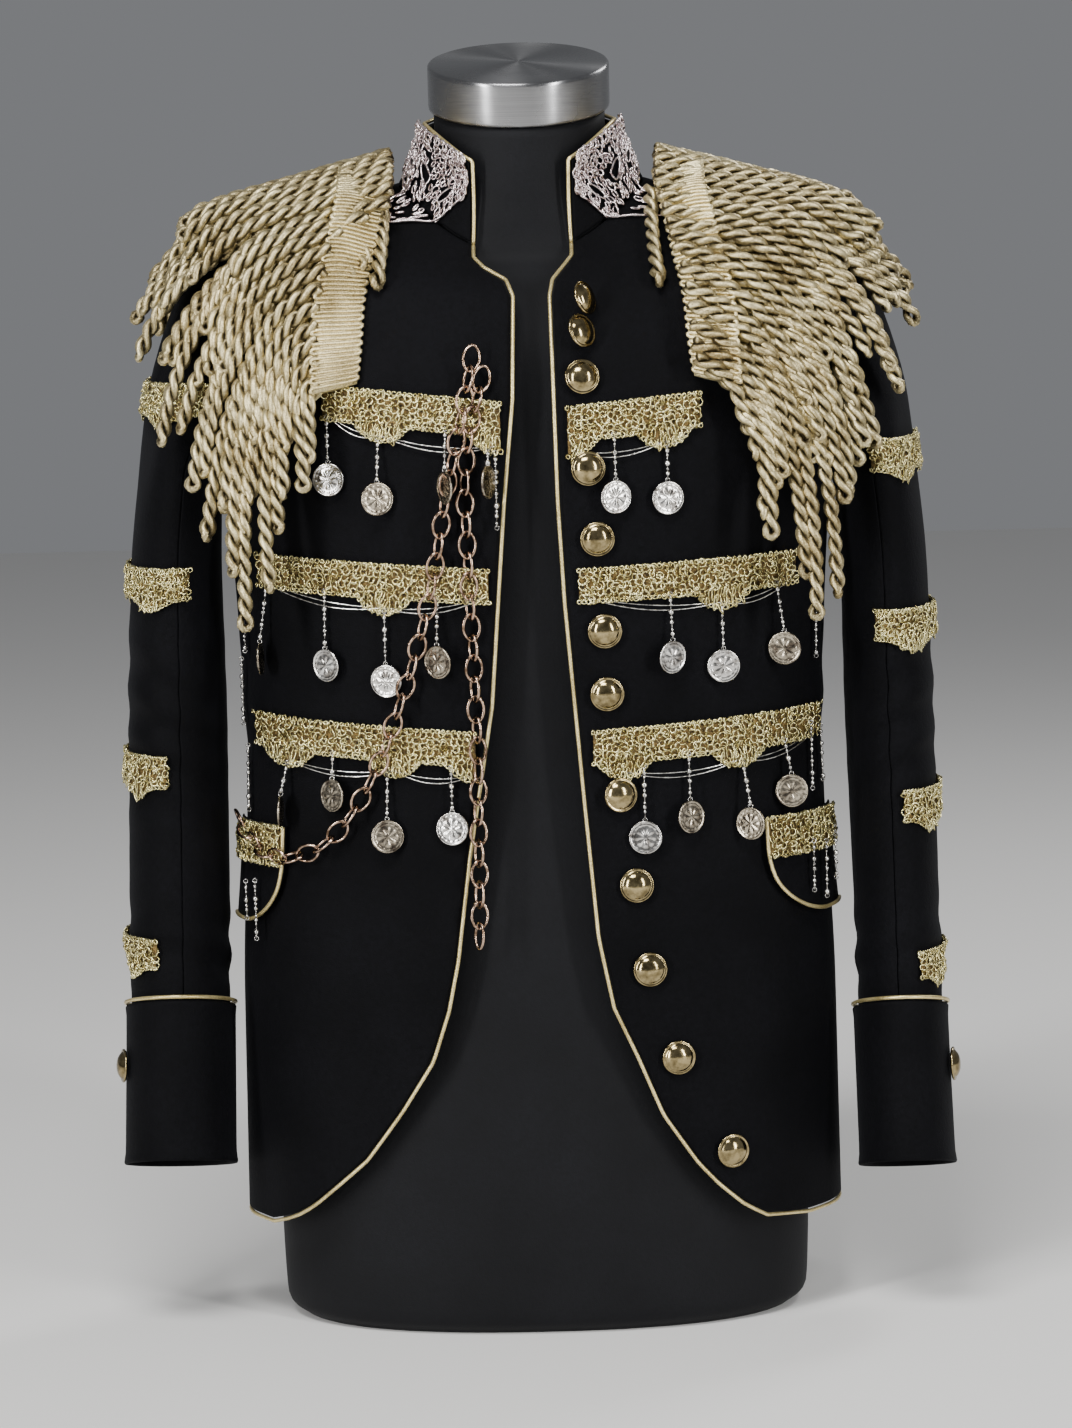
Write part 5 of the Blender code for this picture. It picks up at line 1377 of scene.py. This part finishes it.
# Buttons
# Domed brass buttons with a rolled rim and a bright, slightly worn face, sewn on a thread shank
# down the wearer's left front, and one on each cuff. The top two hang loose and tip sideways.
BUTTONS = (
    (0.038, 0.676, 52), (0.0355, 0.657, 40), (0.036, 0.6305, 6), (0.0385, 0.5725, 4), (0.0435, 0.527, 0),
    (0.047, 0.467, 0), (0.0475, 0.426, 3), (0.0545, 0.3595, 12), (0.064, 0.300, 0), (0.0715, 0.245, 0),
    (0.089, 0.186, 0), (0.1225, 0.1215, 0),
)
CUFF_BUTTON_TURN, CUFF_BUTTON_RING = math.radians(22), 5.40
BUTTON_PROFILE = (
    (0.0030, 0.0000), (0.0088, 0.0004), (0.0104, 0.0006), (0.0111, 0.0011), (0.0113, 0.0017),
    (0.0110, 0.0023), (0.0104, 0.0025), (0.0098, 0.0022), (0.0094, 0.0023), (0.0086, 0.0033),
    (0.0074, 0.0043), (0.0058, 0.0052), (0.0040, 0.0058), (0.0020, 0.0061), (0.0005, 0.0062),
)
BUTTON_SIDES = 40
BUTTON_LIGHT = (0.44, 0.35, 0.18, 1)
BUTTON_DARK = (0.17, 0.13, 0.06, 1)
button_brass = finish(
    "button brass", worn, {"Light": BUTTON_LIGHT, "Dark": BUTTON_DARK, "Patch": 0.006, "Gloss": 0.03},
    bump=0.15, depth=0.0002, Metallic=1.0,
)


def button(name, base, n, tip, node_name):
    level_way = unit(np.cross(n, [0, 0, 1.0]))
    axis = unit(n * math.cos(tip) - level_way * math.sin(tip))
    lift = 0.0012 + 0.0100 * abs(math.sin(tip))
    across = unit(np.cross(axis, [0, 0, 1.0]))
    points = turned_points(BUTTON_PROFILE, BUTTON_SIDES, base + n * lift, axis, across)
    quads = closed_quads(len(BUTTON_PROFILE), BUTTON_SIDES)
    piece(name, points, quads, button_brass, "gold_metal", node_name)


for k, (x, z, tip) in enumerate(BUTTONS):
    place = place_at(x, z)
    name = f"button_{k + 1:02d}"
    button(f"front_{name}", on_body(*place), body_normal(*place), math.radians(tip), name)
for side in SIDE_SIGN:
    n = sleeve_normal(side, np.array(CUFF_BUTTON_TURN), np.array(CUFF_BUTTON_RING))
    base = on_sleeve(side, CUFF_BUTTON_TURN, CUFF_BUTTON_RING, LIE_GAP + WALL)
    button(f"sleeve_button_{side}", base, n, 0.0, f"cuff_button_{side}")

# Chains
# Two strands of oval link chain pinned near the wearer's right front edge: one swings across to
# the pocket and the other hangs straight down. The links are aged brass wire.
CHAIN_LOOP = (
    (0.034, 0.642), (0.040, 0.611), (0.048, 0.577), (0.053, 0.553), (0.059, 0.5165), (0.066, 0.483),
    (0.075, 0.451), (0.086, 0.418), (0.097, 0.387), (0.111, 0.3585), (0.125, 0.338), (0.139, 0.325),
    (0.155, 0.318), (0.169, 0.318), (0.180, 0.325), (0.189, 0.338),
)
CHAIN_TAIL = (
    (0.028, 0.630), (0.037, 0.598), (0.0405, 0.563), (0.0395, 0.524), (0.039, 0.4905), (0.0375, 0.457),
    (0.037, 0.423), (0.036, 0.385), (0.037, 0.346), (0.037, 0.306), (0.038, 0.2705),
)
LINK_LONG, LINK_WIDE, LINK_WIRE = 0.0082, 0.0056, 0.00105
LINK_PITCH, LINK_POINTS = 0.0134, 22
CHAIN_LIGHT = (0.60, 0.42, 0.31, 1)
CHAIN_DARK = (0.13, 0.08, 0.05, 1)
chain_brass = finish(
    "aged chain", worn, {"Light": CHAIN_LIGHT, "Dark": CHAIN_DARK, "Patch": 0.005, "Gloss": 0.06},
    bump=0.2, depth=0.0002, Metallic=1.0,
)
for name, table, out_by in (("chain_loop", CHAIN_LOOP, 0.0086), ("chain_tail", CHAIN_TAIL, 0.0062)):
    run = even_path(np.array(table), 0.002)
    path = eased(on_front(-run[:, 0], run[:, 1], out_by), 10)
    ways = body_normal(*place_at(-run[:, 0], run[:, 1]))
    row = even_path(np.concatenate([path, ways], axis=1), LINK_PITCH)
    along, across, up = frames_along(row[:, :3], row[:, 3:])
    lean = np.radians(np.where(np.arange(len(row)) % 2, -58.0, 24.0))[:, None]
    wide_way = across * np.cos(lean) + up * np.sin(lean)
    flat_way = np.cross(along, wide_way)
    turn = around(LINK_POINTS)[None, :, None]
    links = row[:, None, :3] + along[:, None] * LINK_LONG * np.cos(turn) * (1 + 0.06 * np.cos(2 * turn))
    links = links + wide_way[:, None] * LINK_WIDE * np.sin(turn)
    piece(f"links_{name}", *swept(links, flat_way[:, None] + 0 * links, circle(6, LINK_WIRE), closed=True),
          chain_brass, "gold_metal", name)

# Floor, lights and camera
# A plain pale floor, two tall soft boxes in front, one above in front and one behind, and the
# photograph's view from a little above.
CAMERA_AIM = Vector((0.0015, 0.0, 0.3993))
CAMERA_DISTANCE, CAMERA_RISE, CAMERA_ROLL = 3.20, math.radians(7.0), math.radians(1.39)
CAMERA_LENS = 120.1
FLOOR_COLOUR = (0.78, 0.77, 0.75, 1)
WORLD_COLOUR, WORLD_STRENGTH = (0.80, 0.82, 0.86, 1), 0.24
SOFT_BOXES = (  # place, size, watts, aim
    ((-1.90, -2.05, 1.05), (0.30, 1.8), 66, (0, 0, 0.50)),
    ((1.95, -2.00, 1.15), (0.30, 1.8), 56, (0, 0, 0.50)),
    ((-0.4, -1.5, 2.6), (1.1, 0.7), 60, (0, 0, 0.55)),
    ((1.5, 1.5, 2.1), (0.7, 0.9), 24, (0, 0, 0.6)),
)

floor_mesh = bpy.data.meshes.new("floor")
floor_mesh.from_pydata([(-6, -6, 0), (6, -6, 0), (6, 6, 0), (-6, 6, 0)], [], [(0, 1, 2, 3)])
floor = bpy.data.objects.new("floor", floor_mesh)
bpy.context.scene.collection.objects.link(floor)
floor_look = bpy.data.materials.new("pale floor")
floor_look.use_nodes = True
floor_shader = floor_look.node_tree.nodes["Principled BSDF"]
floor_shader.inputs["Base Color"].default_value = FLOOR_COLOUR
floor_shader.inputs["Roughness"].default_value = 0.9
floor_mesh.materials.append(floor_look)

world = bpy.data.worlds.new("studio")
world.use_nodes = True
world.node_tree.nodes["Background"].inputs["Color"].default_value = WORLD_COLOUR
world.node_tree.nodes["Background"].inputs["Strength"].default_value = WORLD_STRENGTH
bpy.context.scene.world = world
for k, (spot, size, watts, aim) in enumerate(SOFT_BOXES):
    light = bpy.data.lights.new(f"soft_box_{k + 1}", "AREA")
    light.shape = "RECTANGLE"
    light.size, light.size_y = size
    light.energy = watts
    lamp = bpy.data.objects.new(light.name, light)
    lamp.location = spot
    lamp.rotation_euler = (Vector(aim) - Vector(spot)).to_track_quat("-Z", "Y").to_euler()
    bpy.context.scene.collection.objects.link(lamp)

camera = bpy.data.cameras.new("camera")
camera.lens = CAMERA_LENS
camera_object = bpy.data.objects.new("camera", camera)
back = Vector((0, -math.cos(CAMERA_RISE), math.sin(CAMERA_RISE)))
camera_object.location = CAMERA_AIM + back * CAMERA_DISTANCE
camera_object.rotation_mode = "QUATERNION"
camera_object.rotation_quaternion = (-back).to_track_quat("-Z", "Y") @ Quaternion((0, 0, 1), -CAMERA_ROLL)
bpy.context.scene.collection.objects.link(camera_object)
bpy.context.scene.camera = camera_object
